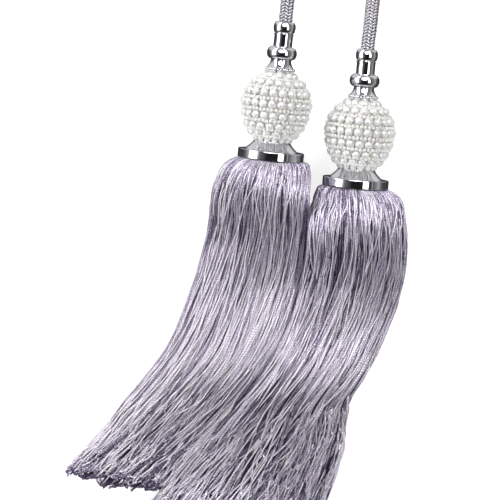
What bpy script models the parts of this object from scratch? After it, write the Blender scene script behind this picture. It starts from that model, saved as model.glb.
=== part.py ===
"""A curtain tieback with two tassels, laid flat on a surface.

One braided rope runs from the first tassel to the second. Each tassel is a
chrome finial, a pearl-covered ball, a chrome cup and a long yarn fringe,
threaded on one axis. Metres, +Z up, the surface is z = 0, and the finials
point along +Y.
"""
from collections import namedtuple
from math import cos, pi, radians, sin, sqrt, tau

import bmesh
import bpy
from mathutils import Vector

MM = 0.001

# Driving sizes, in millimetres.
GAP = 0.3                 # between neighbouring pieces
BALL_RADIUS = 23.0        # over the pearls, square to the axis
BALL_HALF_LENGTH = 25.6   # of the ball's full form, along the axis
BALL_TOP = 23.6           # where the finial sits, along the axis
BALL_BOTTOM = 22.4        # where the cup starts, along the axis
BALL_FLAT = 3.0           # half length of the flat spot it lies on
FINIAL_TOP = 54.0         # from the ball's centre
CUP_NECK_RADIUS = 11.7
CUP_LEDGE = 28.7          # from the ball's centre
CUP_RIM_RADIUS = 21.2
CUP_BOTTOM = 34.2         # from the ball's centre
FRINGE_NECK_RADIUS = 20.3
ROPE_DIAMETER = 9.0
TURNED_SIDES = 24
ROPE_POINTS = 72

# The fringe's yarn lies in locks, which leave grooves along it and a comb at its end.
OUTLINE_POINTS = 48
RINGS_PER_ROW = 3
LOCKS = 12
GROOVE = 0.085            # depth, as a share of the half width
GROOVE_FADE = 0.25        # share of the length in which the grooves reach full depth
LOCK_WANDER = 0.9         # radians that the locks drift sideways and back
LOCK_START = 0.8          # radians, where that drift begins
COMB_DEPTH = 4.0
COMB_UNEVEN = 0.3         # share of the depth that differs from tooth to tooth
COMB_RHYTHM = 2.3         # radians from tooth to tooth, so that none repeat
END_SHRINK = 0.6
END_HOLLOW = 5.0
END_CLEAR = 1.0           # height of the hollow end over the surface

Head = namedtuple("Head", "side x y lean")
HEADS = (
    Head("left", 23.7, 105.9, 6.2),
    Head("right", 77.1, 88.3, 5.0),
)

# Plan and height of each fringe, from under the cup to the yarn's ends. "sink" is how
# far the round underside would reach through the surface: over 1 lies flat on it.
Row = namedtuple("Row", "left_x left_y right_x right_y top middle sink")
FRINGE_ROWS = {
    "left": (
        Row(-7.7, 70.6, 45.0, 68.6, 47.0, 23.0, 0.97),
        Row(-13.4, 64.0, 46.6, 62.0, 50.0, 22.5, 1.04),
        Row(-18.2, 49.9, 43.6, 47.4, 51.0, 21.5, 1.20),
        Row(-21.1, 25.0, 42.4, 22.4, 44.5, 18.5, 1.35),
        Row(-30.1, -8.3, 36.8, -12.2, 37.5, 15.5, 1.40),
        Row(-47.0, -49.0, 21.4, -52.4, 34.0, 14.0, 1.40),
        Row(-72.3, -82.6, -2.4, -86.0, 27.0, 11.0, 1.40),
        Row(-90.2, -106.2, -26.2, -113.8, 20.0, 8.0, 1.40),
        Row(-104.6, -122.8, -49.0, -138.6, 15.0, 6.0, 1.40),
    ),
    "right": (
        Row(49.6, 53.6, 100.6, 49.6, 47.0, 23.0, 0.97),
        Row(47.0, 46.4, 105.3, 43.2, 50.0, 22.5, 1.04),
        Row(45.6, 33.0, 107.8, 27.5, 51.0, 21.5, 1.20),
        Row(43.6, 6.0, 107.8, 3.2, 45.5, 18.5, 1.35),
        Row(36.6, -24.0, 101.4, -25.6, 39.0, 16.0, 1.40),
        Row(20.8, -57.6, 87.7, -58.2, 35.0, 14.0, 1.40),
        Row(-2.4, -88.6, 70.8, -88.6, 28.0, 11.5, 1.40),
        Row(-26.8, -117.6, 67.8, -115.9, 21.0, 8.5, 1.40),
        Row(-51.0, -147.2, 60.5, -156.4, 15.5, 6.5, 1.40),
    ),
}

# The rope's route between the two finials: x, y and the height of its centre.
ROPE_LAID = ROPE_DIAMETER / 2 + 0.1
ROPE_ROUTE = (
    (31.0, 173.0, 22.4),
    (32.4, 186.0, 19.6),
    (33.6, 200.0, 14.6),
    (34.4, 214.0, 9.2),
    (34.6, 229.0, 5.8),
    (34.2, 246.0, ROPE_LAID),
    (33.0, 268.0, ROPE_LAID),
    (31.4, 292.0, ROPE_LAID),
    (30.6, 316.0, ROPE_LAID),
    (32.4, 340.0, ROPE_LAID),
    (38.6, 362.0, ROPE_LAID),
    (50.6, 379.5, ROPE_LAID),
    (68.0, 388.5, ROPE_LAID),
    (87.0, 387.0, ROPE_LAID),
    (103.0, 376.0, ROPE_LAID),
    (112.6, 358.0, ROPE_LAID),
    (116.0, 336.0, ROPE_LAID),
    (114.6, 311.0, ROPE_LAID),
    (110.2, 286.0, ROPE_LAID),
    (104.4, 262.0, ROPE_LAID),
    (98.4, 238.0, ROPE_LAID),
    (93.4, 217.0, 5.6),
    (89.8, 199.0, 9.2),
    (87.0, 183.0, 14.6),
    (84.8, 168.0, 19.8),
    (83.4, 155.0, 22.5),
)


def clear_scene():
    """Remove every object that the file opened with."""
    for thing in list(bpy.data.objects):
        bpy.data.objects.remove(thing, do_unlink=True)


def make_material(name, color, metallic, roughness):
    """A plain Principled material in the piece's own colour."""
    material = bpy.data.materials.new(name)
    material.use_nodes = True
    shader = material.node_tree.nodes["Principled BSDF"]
    shader.inputs["Base Color"].default_value = (*color, 1.0)
    shader.inputs["Metallic"].default_value = metallic
    shader.inputs["Roughness"].default_value = roughness
    material.diffuse_color = (*color, 1.0)
    return material


def add_object(name, mesh, material, parent=None):
    """Link a mesh to the scene with its material, under its parent."""
    thing = bpy.data.objects.new(name, mesh)
    bpy.context.scene.collection.objects.link(thing)
    mesh.materials.append(material)
    thing.parent = parent
    return thing


def skin_rings(name, rings):
    """Close a stack of rings of points into one solid, with a face over each end."""
    shape = bmesh.new()
    loops = [[shape.verts.new(Vector(point) * MM) for point in ring] for ring in rings]
    for lower, upper in zip(loops, loops[1:]):
        for k in range(len(lower)):
            after = (k + 1) % len(lower)
            shape.faces.new((lower[k], lower[after], upper[after], upper[k]))
    shape.faces.new(reversed(loops[0]))
    shape.faces.new(loops[-1])
    bmesh.ops.recalc_face_normals(shape, faces=shape.faces)
    mesh = bpy.data.meshes.new(name)
    shape.to_mesh(mesh)
    shape.free()
    return mesh


def turned(name, profile):
    """Turn a profile of (station, radius) about local Z. A side faces straight down."""
    rings = []
    for station, radius in profile:
        angles = [tau * (k + 0.5) / TURNED_SIDES for k in range(TURNED_SIDES)]
        rings.append([(radius * cos(a), radius * sin(a), station) for a in angles])
    mesh = skin_rings(name, rings)
    mesh.shade_smooth()
    mesh.set_sharp_from_angle(angle=radians(35))
    return mesh


def finial_profile():
    """Bell on the ball, big ring, straight neck and the collar that holds the rope."""
    return (
        (BALL_TOP + GAP, 9.2),
        (24.8, 8.7),
        (26.6, 7.1),
        (28.6, 6.3),
        (29.5, 6.8),
        (30.4, 8.2),
        (32.0, 9.2),
        (34.2, 9.5),
        (36.4, 9.2),
        (38.0, 8.2),
        (38.9, 6.7),
        (39.4, 6.0),
        (46.2, 6.0),
        (46.7, 6.5),
        (48.0, 7.05),
        (50.2, 7.2),
        (52.4, 6.9),
        (53.6, 6.1),
        (FINIAL_TOP, 5.2),
    )


def ball_profile():
    """The outer form over the pearls: an ellipsoid cut flat at both ends."""
    def radius(station):
        return BALL_RADIUS * sqrt(1 - (station / BALL_HALF_LENGTH) ** 2)

    across_corners = 1 / cos(pi / TURNED_SIDES)
    lower = (-BALL_BOTTOM, -20.0, -16.5, -12.5, -8.0)
    upper = (8.0, 12.5, 16.5, 20.5, BALL_TOP)
    rows = [(station, radius(station)) for station in lower]
    rows += [(-BALL_FLAT, BALL_RADIUS), (BALL_FLAT, BALL_RADIUS)]
    rows += [(station, radius(station)) for station in upper]
    return [(station, size * across_corners) for station, size in rows]


def cup_profile():
    """Hollow-sided cone under the ball, running out into a ledge and an upright rim."""
    return (
        (-CUP_BOTTOM, CUP_RIM_RADIUS - 0.5),
        (-CUP_BOTTOM + 0.5, CUP_RIM_RADIUS),
        (-CUP_LEDGE - 0.5, CUP_RIM_RADIUS),
        (-CUP_LEDGE, CUP_RIM_RADIUS - 0.6),
        (-CUP_LEDGE, 17.2),
        (-27.6, 15.4),
        (-26.0, 13.4),
        (-24.2, 12.2),
        (-BALL_BOTTOM - GAP, CUP_NECK_RADIUS),
    )


def catmull_rom(before, start, end, after, share):
    """Point at a share of the way from start to end on a smooth curve."""
    def blend(a, b, c, d):
        return 0.5 * (
            2 * b
            + (c - a) * share
            + (2 * a - 5 * b + 4 * c - d) * share ** 2
            + (3 * b - a - 3 * c + d) * share ** 3
        )

    return tuple(map(blend, before, start, end, after))


def smooth_rows(rows, steps):
    """Fill in rows between the given ones, on a smooth curve through all columns."""
    padded = [rows[0], *rows, rows[-1]]
    filled = []
    for four in zip(padded, padded[1:], padded[2:], padded[3:]):
        filled += [catmull_rom(*four, step / steps) for step in range(steps)]
    filled.append(tuple(rows[-1]))
    return filled


def neck_row(head):
    """The round top of the fringe, just under the cup."""
    lean = radians(head.lean)
    reach = CUP_BOTTOM + GAP
    x = head.x - reach * sin(lean)
    y = head.y - reach * cos(lean)
    side_x = FRINGE_NECK_RADIUS * cos(lean)
    side_y = FRINGE_NECK_RADIUS * sin(lean)
    top = BALL_RADIUS + FRINGE_NECK_RADIUS
    sink = FRINGE_NECK_RADIUS / BALL_RADIUS
    return Row(x - side_x, y + side_y, x + side_x, y - side_y, top, BALL_RADIUS, sink)


def lock_wave(angle, progress):
    """From 0 in a groove to 1 on the crest of a lock."""
    drift = LOCK_WANDER * sin(pi * progress + LOCK_START) * progress
    return 0.5 + 0.5 * cos(LOCKS * (angle + drift))


def fringe_ring(row, progress):
    """One closed outline of the fringe, flat where it lies on the surface."""
    row = Row(*row)
    middle_x = (row.left_x + row.right_x) / 2
    middle_y = (row.left_y + row.right_y) / 2
    half_x = (row.right_x - row.left_x) / 2
    half_y = (row.right_y - row.left_y) / 2
    depth = GROOVE * min(1.0, progress / GROOVE_FADE)
    points = []
    for k in range(OUTLINE_POINTS):
        angle = tau * k / OUTLINE_POINTS
        fill = 1 - depth * (1 - lock_wave(angle, progress))
        across = cos(angle) * fill
        rise = sin(angle)
        if rise > 0:
            height = row.middle + (row.top - row.middle) * rise * fill
        else:
            height = max(0.0, row.middle * (1 + row.sink * rise))
        points.append((middle_x + half_x * across, middle_y + half_y * across, height))
    return points


def comb_end(ring, before):
    """Let the locks run on by different lengths, and draw the end in to a hollow."""
    count = len(ring)
    center = sum((Vector(point) for point in ring), Vector()) / count
    earlier = sum((Vector(point) for point in before), Vector()) / count
    flow = (center - earlier).to_2d().normalized().to_3d()
    teeth = []
    for k, point in enumerate(ring):
        angle = tau * k / count
        tooth = round(LOCKS * angle / tau)
        uneven = 1 - COMB_UNEVEN * (1 - sin(COMB_RHYTHM * tooth))
        reach = COMB_DEPTH * uneven * lock_wave(angle, 1.0)
        teeth.append(Vector(point) + flow * reach)
    inner = []
    for point in teeth:
        drawn = center.lerp(point, END_SHRINK) - flow * END_HOLLOW
        inner.append(Vector((drawn.x, drawn.y, max(drawn.z, END_CLEAR))))
    return [teeth, inner]


def fringe_mesh(name, head):
    """The fringe as one solid, from its bound neck to the comb of its yarn ends."""
    rows = smooth_rows([neck_row(head), *FRINGE_ROWS[head.side]], RINGS_PER_ROW)
    rings = [fringe_ring(row, i / (len(rows) - 1)) for i, row in enumerate(rows)]
    rings += comb_end(rings[-1], rings[-2])
    return skin_rings(name, rings)


def finial_mouth(head, extra=0.0):
    """Centre of the collar's top face, or a point further out on the same axis."""
    lean = radians(head.lean)
    reach = FINIAL_TOP + extra
    return (head.x + reach * sin(lean), head.y + reach * cos(lean), BALL_RADIUS)


def rope_object(name, material):
    """The rope as a tube on an evenly stepped curve through its route."""
    left, right = HEADS
    starts = [finial_mouth(left, GAP), finial_mouth(left, 5.0)]
    ends = [finial_mouth(right, 5.0), finial_mouth(right, GAP)]
    route = [*starts, *ROPE_ROUTE, *ends]
    fine = [Vector(point) for point in smooth_rows(route, 12)]
    lengths = [0.0]
    for here, after in zip(fine, fine[1:]):
        lengths.append(lengths[-1] + (after - here).length)
    points = []
    piece = 0
    for k in range(ROPE_POINTS):
        wanted = lengths[-1] * k / (ROPE_POINTS - 1)
        while piece < len(fine) - 2 and lengths[piece + 1] < wanted:
            piece += 1
        share = (wanted - lengths[piece]) / (lengths[piece + 1] - lengths[piece])
        points.append(fine[piece].lerp(fine[piece + 1], share))
    curve = bpy.data.curves.new(name, "CURVE")
    curve.dimensions = "3D"
    curve.bevel_depth = ROPE_DIAMETER / 2 * MM
    curve.bevel_resolution = 2
    curve.use_fill_caps = True
    curve.render_resolution_u = 0
    spline = curve.splines.new("POLY")
    spline.points.add(len(points) - 1)
    for target, point in zip(spline.points, points):
        target.co = (*(point * MM), 1.0)
    curve.materials.append(material)
    rope = bpy.data.objects.new(name, curve)
    bpy.context.scene.collection.objects.link(rope)
    return rope


def tassel(head, chrome, pearl, yarn):
    """One tassel: the turned pieces on their leaning axis, and the fringe under them."""
    axis = bpy.data.objects.new(f"{head.side}_axis", None)
    bpy.context.scene.collection.objects.link(axis)
    axis.location = Vector((head.x, head.y, BALL_RADIUS)) * MM
    axis.rotation_euler = (-pi / 2, 0.0, -radians(head.lean))
    turned_pieces = (
        ("finial", finial_profile(), chrome),
        ("ball", ball_profile(), pearl),
        ("cup", cup_profile(), chrome),
    )
    for piece, profile, material in turned_pieces:
        name = f"{head.side}_{piece}"
        add_object(name, turned(name, profile), material, parent=axis)
    name = f"{head.side}_fringe"
    add_object(name, fringe_mesh(name, head), yarn)


def main():
    clear_scene()
    chrome = make_material("chrome_plate", (0.78, 0.78, 0.80), 1.0, 0.08)
    pearl = make_material("pearl", (0.90, 0.89, 0.85), 0.0, 0.25)
    yarn = make_material("rayon_yarn", (0.42, 0.38, 0.47), 0.0, 0.55)
    braid = make_material("rayon_braid", (0.55, 0.52, 0.58), 0.0, 0.55)
    for head in HEADS:
        tassel(head, chrome, pearl, yarn)
    rope_object("rope", braid)


main()
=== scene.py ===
"""Looks of a curtain tieback with two tassels, laid flat on a pale surface.

A braided rayon rope joins the tassels. Each tassel is a chrome finial, a ball strung
with pearls, a chrome cup and a long fringe of twisted rayon yarn, all threaded on one
axis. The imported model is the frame: every piece here stands where its solid stands.
Sizes are in millimetres until a mesh is written. +Z is up and the finials point
along +Y.
"""
import logging
from dataclasses import dataclass
from enum import Enum
from math import cos, pi, radians, sin, sqrt, tau

import bpy
import numpy as np
from mathutils import Matrix, Vector


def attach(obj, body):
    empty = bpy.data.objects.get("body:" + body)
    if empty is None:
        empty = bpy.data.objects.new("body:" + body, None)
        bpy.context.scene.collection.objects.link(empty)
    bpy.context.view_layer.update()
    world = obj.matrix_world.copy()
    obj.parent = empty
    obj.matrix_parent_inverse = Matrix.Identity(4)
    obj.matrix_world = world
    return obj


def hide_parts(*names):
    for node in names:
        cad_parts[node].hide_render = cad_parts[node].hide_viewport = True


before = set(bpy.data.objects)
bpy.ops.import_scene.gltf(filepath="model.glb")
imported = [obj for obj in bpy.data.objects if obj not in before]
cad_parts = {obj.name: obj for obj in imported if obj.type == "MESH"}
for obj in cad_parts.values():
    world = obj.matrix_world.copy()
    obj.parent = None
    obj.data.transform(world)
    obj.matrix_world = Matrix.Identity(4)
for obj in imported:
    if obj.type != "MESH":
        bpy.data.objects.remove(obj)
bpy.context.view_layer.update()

MM = 0.001
YARN_RADIUS = 0.44  # of the fringes' yarn
LOG = logging.getLogger("tieback")

Piece = bpy.types.Object
Material = bpy.types.Material
NodeTree = bpy.types.NodeTree
Random = np.random.Generator
Color = tuple[float, float, float, float]
Stops = dict[float, Color]
Levels = tuple[tuple[float, float], ...]  # position and brightness of each stop of a ramp
Profile = list[tuple[float, float]]  # station and radius of each row of a turned piece


class Side(Enum):
    """The two tassels, as seen from above with the finials at the top."""

    LEFT = "left"
    RIGHT = "right"


class Slot(Enum):
    """The record's material slots."""

    CHROME = "chrome_plate"
    PEARL = "pearl"
    YARN = "rayon_yarn"
    BRAID = "rayon_braid"


# ---------------------------------------------------------------- editing helpers


def deselect_all() -> None:
    """Leave edit mode and clear the selection, which loading leaves on the CAD nodes."""
    if bpy.context.mode != "OBJECT":
        bpy.ops.object.mode_set(mode="OBJECT")
    bpy.ops.object.select_all(action="DESELECT")


def select_only(piece: Piece) -> None:
    """Make one object the selected and active one.

    Args:
        piece: The object.
    """
    deselect_all()
    piece.select_set(True)
    bpy.context.view_layer.objects.active = piece


def settle(piece: Piece) -> None:
    """Apply an object's place, turn and scale to its mesh."""
    select_only(piece)
    bpy.ops.object.transform_apply(location=True, rotation=True, scale=True)


def face_outwards(piece: Piece) -> None:
    """Turn all faces of a closed piece to point outwards.

    Args:
        piece: The piece. It may still be in edit mode, and is left in object mode.
    """
    select_only(piece)
    bpy.ops.object.mode_set(mode="EDIT")
    bpy.ops.mesh.select_all(action="SELECT")
    bpy.ops.mesh.normals_make_consistent(inside=False)
    bpy.ops.object.mode_set(mode="OBJECT")


def join_pieces(pieces: list[Piece], name: str) -> Piece:
    """Join several objects into the first one.

    Args:
        pieces: The objects, each with its own mesh.
        name: What the joined object is called.

    Returns:
        The joined object.
    """
    select_only(pieces[0])
    for piece in pieces[1:]:
        piece.select_set(True)
    bpy.ops.object.join()
    joined = bpy.context.view_layer.objects.active
    joined.name = name
    joined.data.name = name
    return joined


def copy_to(model: Piece, place: Matrix) -> Piece:
    """Copy an object with a mesh of its own.

    Args:
        model: The object to copy.
        place: The copy's place, turn and scale.

    Returns:
        The copy.
    """
    twin = model.copy()
    twin.data = model.data.copy()
    bpy.context.scene.collection.objects.link(twin)
    twin.matrix_world = place
    return twin


def hand_over(piece: Piece, slot: Slot, *nodes: str) -> None:
    """Fix a finished piece to the frame and hide the CAD nodes that it stands for.

    Args:
        piece: The finished piece.
        slot: The material slot that it takes its finish from. Not used.
        nodes: The CAD nodes that it stands for.
    """
    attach(piece, "root")
    if nodes:
        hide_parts(*nodes)
    LOG.info("%s: %d faces", piece.name, len(piece.data.polygons))


# ---------------------------------------------------------------- material helpers


def srgb(code: str) -> Color:
    """Turn an sRGB hex colour into a linear one.

    Args:
        code: The colour, such as "#a1b2c3".

    Returns:
        Its linear red, green and blue, and an alpha of 1.
    """
    channels = [int(code[i : i + 2], 16) / 255 for i in (1, 3, 5)]
    linear = [c / 12.92 if c <= 0.04045 else ((c + 0.055) / 1.055) ** 2.4 for c in channels]
    return (*linear, 1.0)


def greys(levels: Levels) -> Stops:
    """Neutral linear colours for the stops of a ramp, from their brightness."""
    return {position: (light, light, light, 1.0) for position, light in levels}


def per_metre(size: float) -> float:
    """The scale of a pattern whose marks are this many millimetres apart."""
    return 1 / (size * MM)


def connect(tree: NodeTree, node: bpy.types.Node, inputs: dict[str | int, object]) -> None:
    """Link sockets to a node's inputs and set constants on its other ones.

    Args:
        tree: The node tree.
        node: The node.
        inputs: For each input name or number, a socket to link or a constant.
    """
    for key, value in inputs.items():
        if isinstance(value, bpy.types.NodeSocket):
            tree.links.new(value, node.inputs[key])
        else:
            node.inputs[key].default_value = value


def add_node(
    tree: NodeTree, kind: str, inputs: dict[str | int, object], stops: Stops | None = None, **settings: str
) -> bpy.types.Node:
    """Add a node with its settings, its constants and its links.

    Args:
        tree: The node tree.
        kind: The node's type, without the "ShaderNode" in front.
        inputs: For each input name or number, a socket to link or a constant.
        stops: A colour ramp's linear colours, by their position from 0 to 1.
        settings: Values of the node's own properties.

    Returns:
        The node.
    """
    node = tree.nodes.new("ShaderNode" + kind)
    for key, value in settings.items():
        setattr(node, key, value)
    connect(tree, node, inputs)
    if stops:
        elements = node.color_ramp.elements
        while len(elements) < len(stops):
            elements.new(0.5)
        for element, (position, color) in zip(elements, sorted(stops.items())):
            element.position = position
            element.color = color
    return node


def new_material(name: str) -> tuple[Material, NodeTree, bpy.types.Node]:
    """Make a material with one Principled shader.

    Args:
        name: What the real material is.

    Returns:
        The material, its node tree and its shader node.
    """
    material = bpy.data.materials.new(name)
    material.use_nodes = True
    return material, material.node_tree, material.node_tree.nodes["Principled BSDF"]


# ---------------------------------------------------------------- finishes


@dataclass(frozen=True)
class ChromePlate:
    """Polished chrome plating on a turned zinc part: a near mirror with a faint haze."""

    color: str = "#c6c7cb"
    haze_size: float = 5.0  # mm between patches of wiped polish
    haze: tuple[float, float] = (0.03, 0.09)  # roughness of the clearest and the dullest patch
    ripple_size: float = 2.5  # mm, the soft unevenness under the plating
    ripple_depth: float = 0.1  # mm

    def material(self) -> Material:
        """Make a mirror whose sharpness changes a little from patch to patch.

        Returns:
            The material.
        """
        material, tree, shader = new_material("polished_chrome_plate")
        place = add_node(tree, "TexCoord", {}).outputs["Object"]
        patches = {"Vector": place, "Scale": per_metre(self.haze_size), "Detail": 3.0}
        haze = add_node(tree, "TexNoise", patches).outputs["Fac"]
        clear, dull = self.haze
        gloss = add_node(tree, "MapRange", {"Value": haze, "To Min": clear, "To Max": dull})
        waves = {"Vector": place, "Scale": per_metre(self.ripple_size), "Detail": 1.0}
        ripple = add_node(tree, "TexNoise", waves).outputs["Fac"]
        bump = add_node(
            tree, "Bump", {"Height": ripple, "Strength": 0.12, "Distance": self.ripple_depth * MM}
        )
        look = {
            "Base Color": srgb(self.color),
            "Metallic": 1.0,
            "Roughness": gloss.outputs["Result"],
            "Normal": bump.outputs["Normal"],
        }
        connect(tree, shader, look)
        return material


@dataclass(frozen=True)
class BeadFinish:
    """Pale bead, milky towards its edge, with a green or a lilac cast from bead to bead."""

    name: str
    light: str
    green: str
    lilac: str
    cast_size: float  # mm between casts
    cast_detail: float
    casts: tuple[float, float, float, float]  # noise at which green, light, light and lilac stand
    grain_size: float  # mm between smoother and duller specks
    grain: tuple[float, float]  # roughness of the smoothest and the dullest speck
    bloom: float  # the milky brightness towards a bead's edge
    bloom_width: float = 0.65

    def material(self) -> Material:
        """Make glossy beads in slightly mixed colours.

        Returns:
            The material.
        """
        material, tree, shader = new_material(self.name)
        place = add_node(tree, "TexCoord", {}).outputs["Object"]
        patches = {"Vector": place, "Scale": per_metre(self.cast_size), "Detail": self.cast_detail}
        cast = add_node(tree, "TexNoise", patches).outputs["Fac"]
        colors = (self.green, self.light, self.light, self.lilac)
        stops = {position: srgb(color) for position, color in zip(self.casts, colors)}
        hue = add_node(tree, "ValToRGB", {"Fac": cast}, stops)
        specks = {"Vector": place, "Scale": per_metre(self.grain_size), "Detail": 1.0}
        grain = add_node(tree, "TexNoise", specks).outputs["Fac"]
        smooth, dull = self.grain
        gloss = add_node(tree, "MapRange", {"Value": grain, "To Min": smooth, "To Max": dull})
        look = {
            "Base Color": hue.outputs["Color"],
            "Roughness": gloss.outputs["Result"],
            "Sheen Weight": self.bloom,
            "Sheen Roughness": self.bloom_width,
        }
        connect(tree, shader, look)
        return material


@dataclass(frozen=True)
class PearlCoat(BeadFinish):
    """Nacre lacquer on moulded beads: white and soft, with green and lilac casts."""

    name: str = "pearl_lacquer"
    light: str = "#cccbc9"
    green: str = "#cbccc6"
    lilac: str = "#cac7cc"
    cast_size: float = 8.0  # mm, about one pearl
    cast_detail: float = 1.0
    casts: tuple[float, float, float, float] = (0.34, 0.46, 0.56, 0.68)
    grain_size: float = 0.6
    grain: tuple[float, float] = (0.10, 0.22)
    bloom: float = 0.85
    flake: float = 0.15  # share of the light that the nacre flakes throw back
    glow: float = 0.9  # share of the light that goes on inside a pearl
    glow_depth: float = 3.0  # mm that it spreads there

    def material(self) -> Material:
        """Add the clear coat, which gives each pearl its small soft glint, and the inner glow.

        Returns:
            The material.
        """
        material = super().material()
        look = {
            "Metallic": self.flake,
            "Coat Weight": 1.0,
            "Coat Roughness": 0.03,
            "Coat IOR": 1.5,
            "Subsurface Weight": self.glow,
            "Subsurface Radius": (1.0, 1.0, 1.0),
            "Subsurface Scale": self.glow_depth * MM,
        }
        connect(material.node_tree, material.node_tree.nodes["Principled BSDF"], look)
        return material


@dataclass(frozen=True)
class SeedGlass(BeadFinish):
    """Small cream glass beads: shiny, and a little green or lilac from bead to bead."""

    name: str = "cream_glass_bead"
    light: str = "#d9d8d4"
    green: str = "#d7d9d0"
    lilac: str = "#d4d1d6"
    cast_size: float = 5.0  # mm, one or two beads
    cast_detail: float = 2.0
    casts: tuple[float, float, float, float] = (0.36, 0.48, 0.58, 0.68)
    grain_size: float = 0.8
    grain: tuple[float, float] = (0.08, 0.22)
    bloom: float = 0.5


@dataclass(frozen=True)
class BeadForm:
    """The moulded form under the pearls, off-white and matt, wound with their thread."""

    light: str = "#f2f1ec"
    dark: str = "#d6d4cd"
    thread: float = 0.8  # mm from thread to thread
    thread_depth: float = 0.2  # mm
    wave_length: float = 0.314  # of the wave pattern at scale 1

    def material(self) -> Material:
        """Make the fine lines of the winding thread, lighter where it stands out.

        Returns:
            The material.
        """
        material, tree, shader = new_material("thread_wound_form")
        place = add_node(tree, "TexCoord", {}).outputs["Object"]
        winding = {"Vector": place, "Scale": self.wave_length / (self.thread * MM), "Distortion": 1.0}
        lines = add_node(tree, "TexWave", winding, bands_direction="Y").outputs["Fac"]
        stops = {0.2: srgb(self.dark), 0.8: srgb(self.light)}
        shade = add_node(tree, "ValToRGB", {"Fac": lines}, stops)
        bump = add_node(
            tree, "Bump", {"Height": lines, "Strength": 0.5, "Distance": self.thread_depth * MM}
        )
        look = {
            "Base Color": shade.outputs["Color"],
            "Normal": bump.outputs["Normal"],
            "Roughness": 0.55,
        }
        connect(tree, shader, look)
        return material


@dataclass(frozen=True)
class RayonYarn:
    """Two-ply rayon yarn: silky lilac grey, with a glint on each turn of its twist."""

    name: str = "twisted_rayon_yarn"
    dark: str = "#433a54"
    middle: str = "#a497b7"
    light: str = "#e8e3ec"
    plies: float = 2.0
    glint: float = 1.8  # mm from glint to glint along the yarn
    groove: float = 0.11  # mm, depth between the plies
    twist_shade: float = 0.85  # painted shade: how much darker the groove between the plies is
    glint_speck_size: float = 0.9  # mm between the painted light and dark specks along the yarn
    painted_glints: float = 2.0  # painted glints: how much lighter or darker the specks are
    gloss: tuple[float, float] = (0.45, 0.25)  # roughness in the groove and on the ply
    satin: float = 0.6  # how much the sheen takes the yarn's own colour, as satin does

    def material(self) -> Material:
        """Read the map "yarn" (turns round, millimetres along) and the point value "tone".

        Returns:
            The material.
        """
        material, tree, shader = new_material(self.name)
        yarn = add_node(tree, "UVMap", {}, uv_map="yarn").outputs["UV"]
        split = add_node(tree, "SeparateXYZ", {"Vector": yarn}).outputs
        turns = add_node(tree, "Math", {0: split["X"], 1: self.plies}, operation="MULTIPLY").outputs[0]
        steps = add_node(tree, "Math", {0: split["Y"], 1: self.glint}, operation="DIVIDE").outputs[0]
        phase = add_node(tree, "Math", {0: turns, 1: steps}, operation="ADD").outputs[0]
        wave = add_node(tree, "Math", {0: phase, 1: tau}, operation="MULTIPLY").outputs[0]
        ridge = add_node(tree, "Math", {0: wave}, operation="SINE").outputs[0]
        crest = {"Value": ridge, "From Min": -1.0, "From Max": 1.0}
        height = add_node(tree, "MapRange", crest).outputs["Result"]

        tone = add_node(tree, "Attribute", {}, attribute_name="tone").outputs["Fac"]
        # Painted shade in the groove between the plies.
        shadow = {"Value": height, "To Min": -self.twist_shade, "To Max": 0.0}
        twist = add_node(tree, "MapRange", shadow).outputs["Result"]
        toned = add_node(tree, "Math", {0: twist, 1: tone}, operation="ADD").outputs[0]
        # Painted glints: light and dark specks along the yarn.
        glint_speck_noise = {"Vector": yarn, "Scale": 1 / self.glint_speck_size, "Detail": 1.0}
        specks = add_node(tree, "TexNoise", glint_speck_noise).outputs["Fac"]
        speck = add_node(tree, "Math", {0: specks, 1: 0.5}, operation="SUBTRACT").outputs[0]
        mixed = {0: speck, 1: self.painted_glints, 2: toned}
        shade = add_node(tree, "Math", mixed, operation="MULTIPLY_ADD").outputs[0]
        stops = {0.0: srgb(self.dark), 0.5: srgb(self.middle), 1.0: srgb(self.light)}
        body = add_node(tree, "ValToRGB", {"Fac": shade}, stops)

        bump = add_node(
            tree, "Bump", {"Height": height, "Strength": 1.0, "Distance": self.groove * MM}
        )
        in_groove, on_ply = self.gloss
        gloss = add_node(tree, "MapRange", {"Value": height, "To Min": in_groove, "To Max": on_ply})
        look = {
            "Base Color": body.outputs["Color"],
            "Roughness": gloss.outputs["Result"],
            "Normal": bump.outputs["Normal"],
            "Metallic": self.satin,
        }
        connect(tree, shader, look)
        return material


@dataclass(frozen=True)
class InnerYarnShade:
    """The inner yarn of the fringe and the rope's core, painted dark as the shade that shows where the
    locks part.
    """

    dark: str = "#3a3346"
    light: str = "#6a6176"
    yarn: float = 1.1  # mm, thickness of a yarn
    relief: float = 0.6  # mm
    flow: tuple[float, float, float] = (1.0, 0.06, 0.4)  # how short the streaks are in x, y and z

    def material(self) -> Material:
        """Make dark streaks of painted shade that run with the yarn.

        Returns:
            The material.
        """
        material, tree, shader = new_material("painted_inner_shade")
        place = add_node(tree, "TexCoord", {}).outputs["Object"]
        drawn_out = add_node(tree, "Mapping", {"Vector": place, "Scale": self.flow}).outputs["Vector"]
        yarns = {"Vector": drawn_out, "Scale": per_metre(self.yarn), "Detail": 2.0}
        streak = add_node(tree, "TexNoise", yarns).outputs["Fac"]
        stops = {0.35: srgb(self.dark), 0.7: srgb(self.light)}
        shade = add_node(tree, "ValToRGB", {"Fac": streak}, stops)
        bump = add_node(
            tree, "Bump", {"Height": streak, "Strength": 0.8, "Distance": self.relief * MM}
        )
        look = {
            "Base Color": shade.outputs["Color"],
            "Normal": bump.outputs["Normal"],
            "Roughness": 0.7,
        }
        connect(tree, shader, look)
        return material


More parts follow.
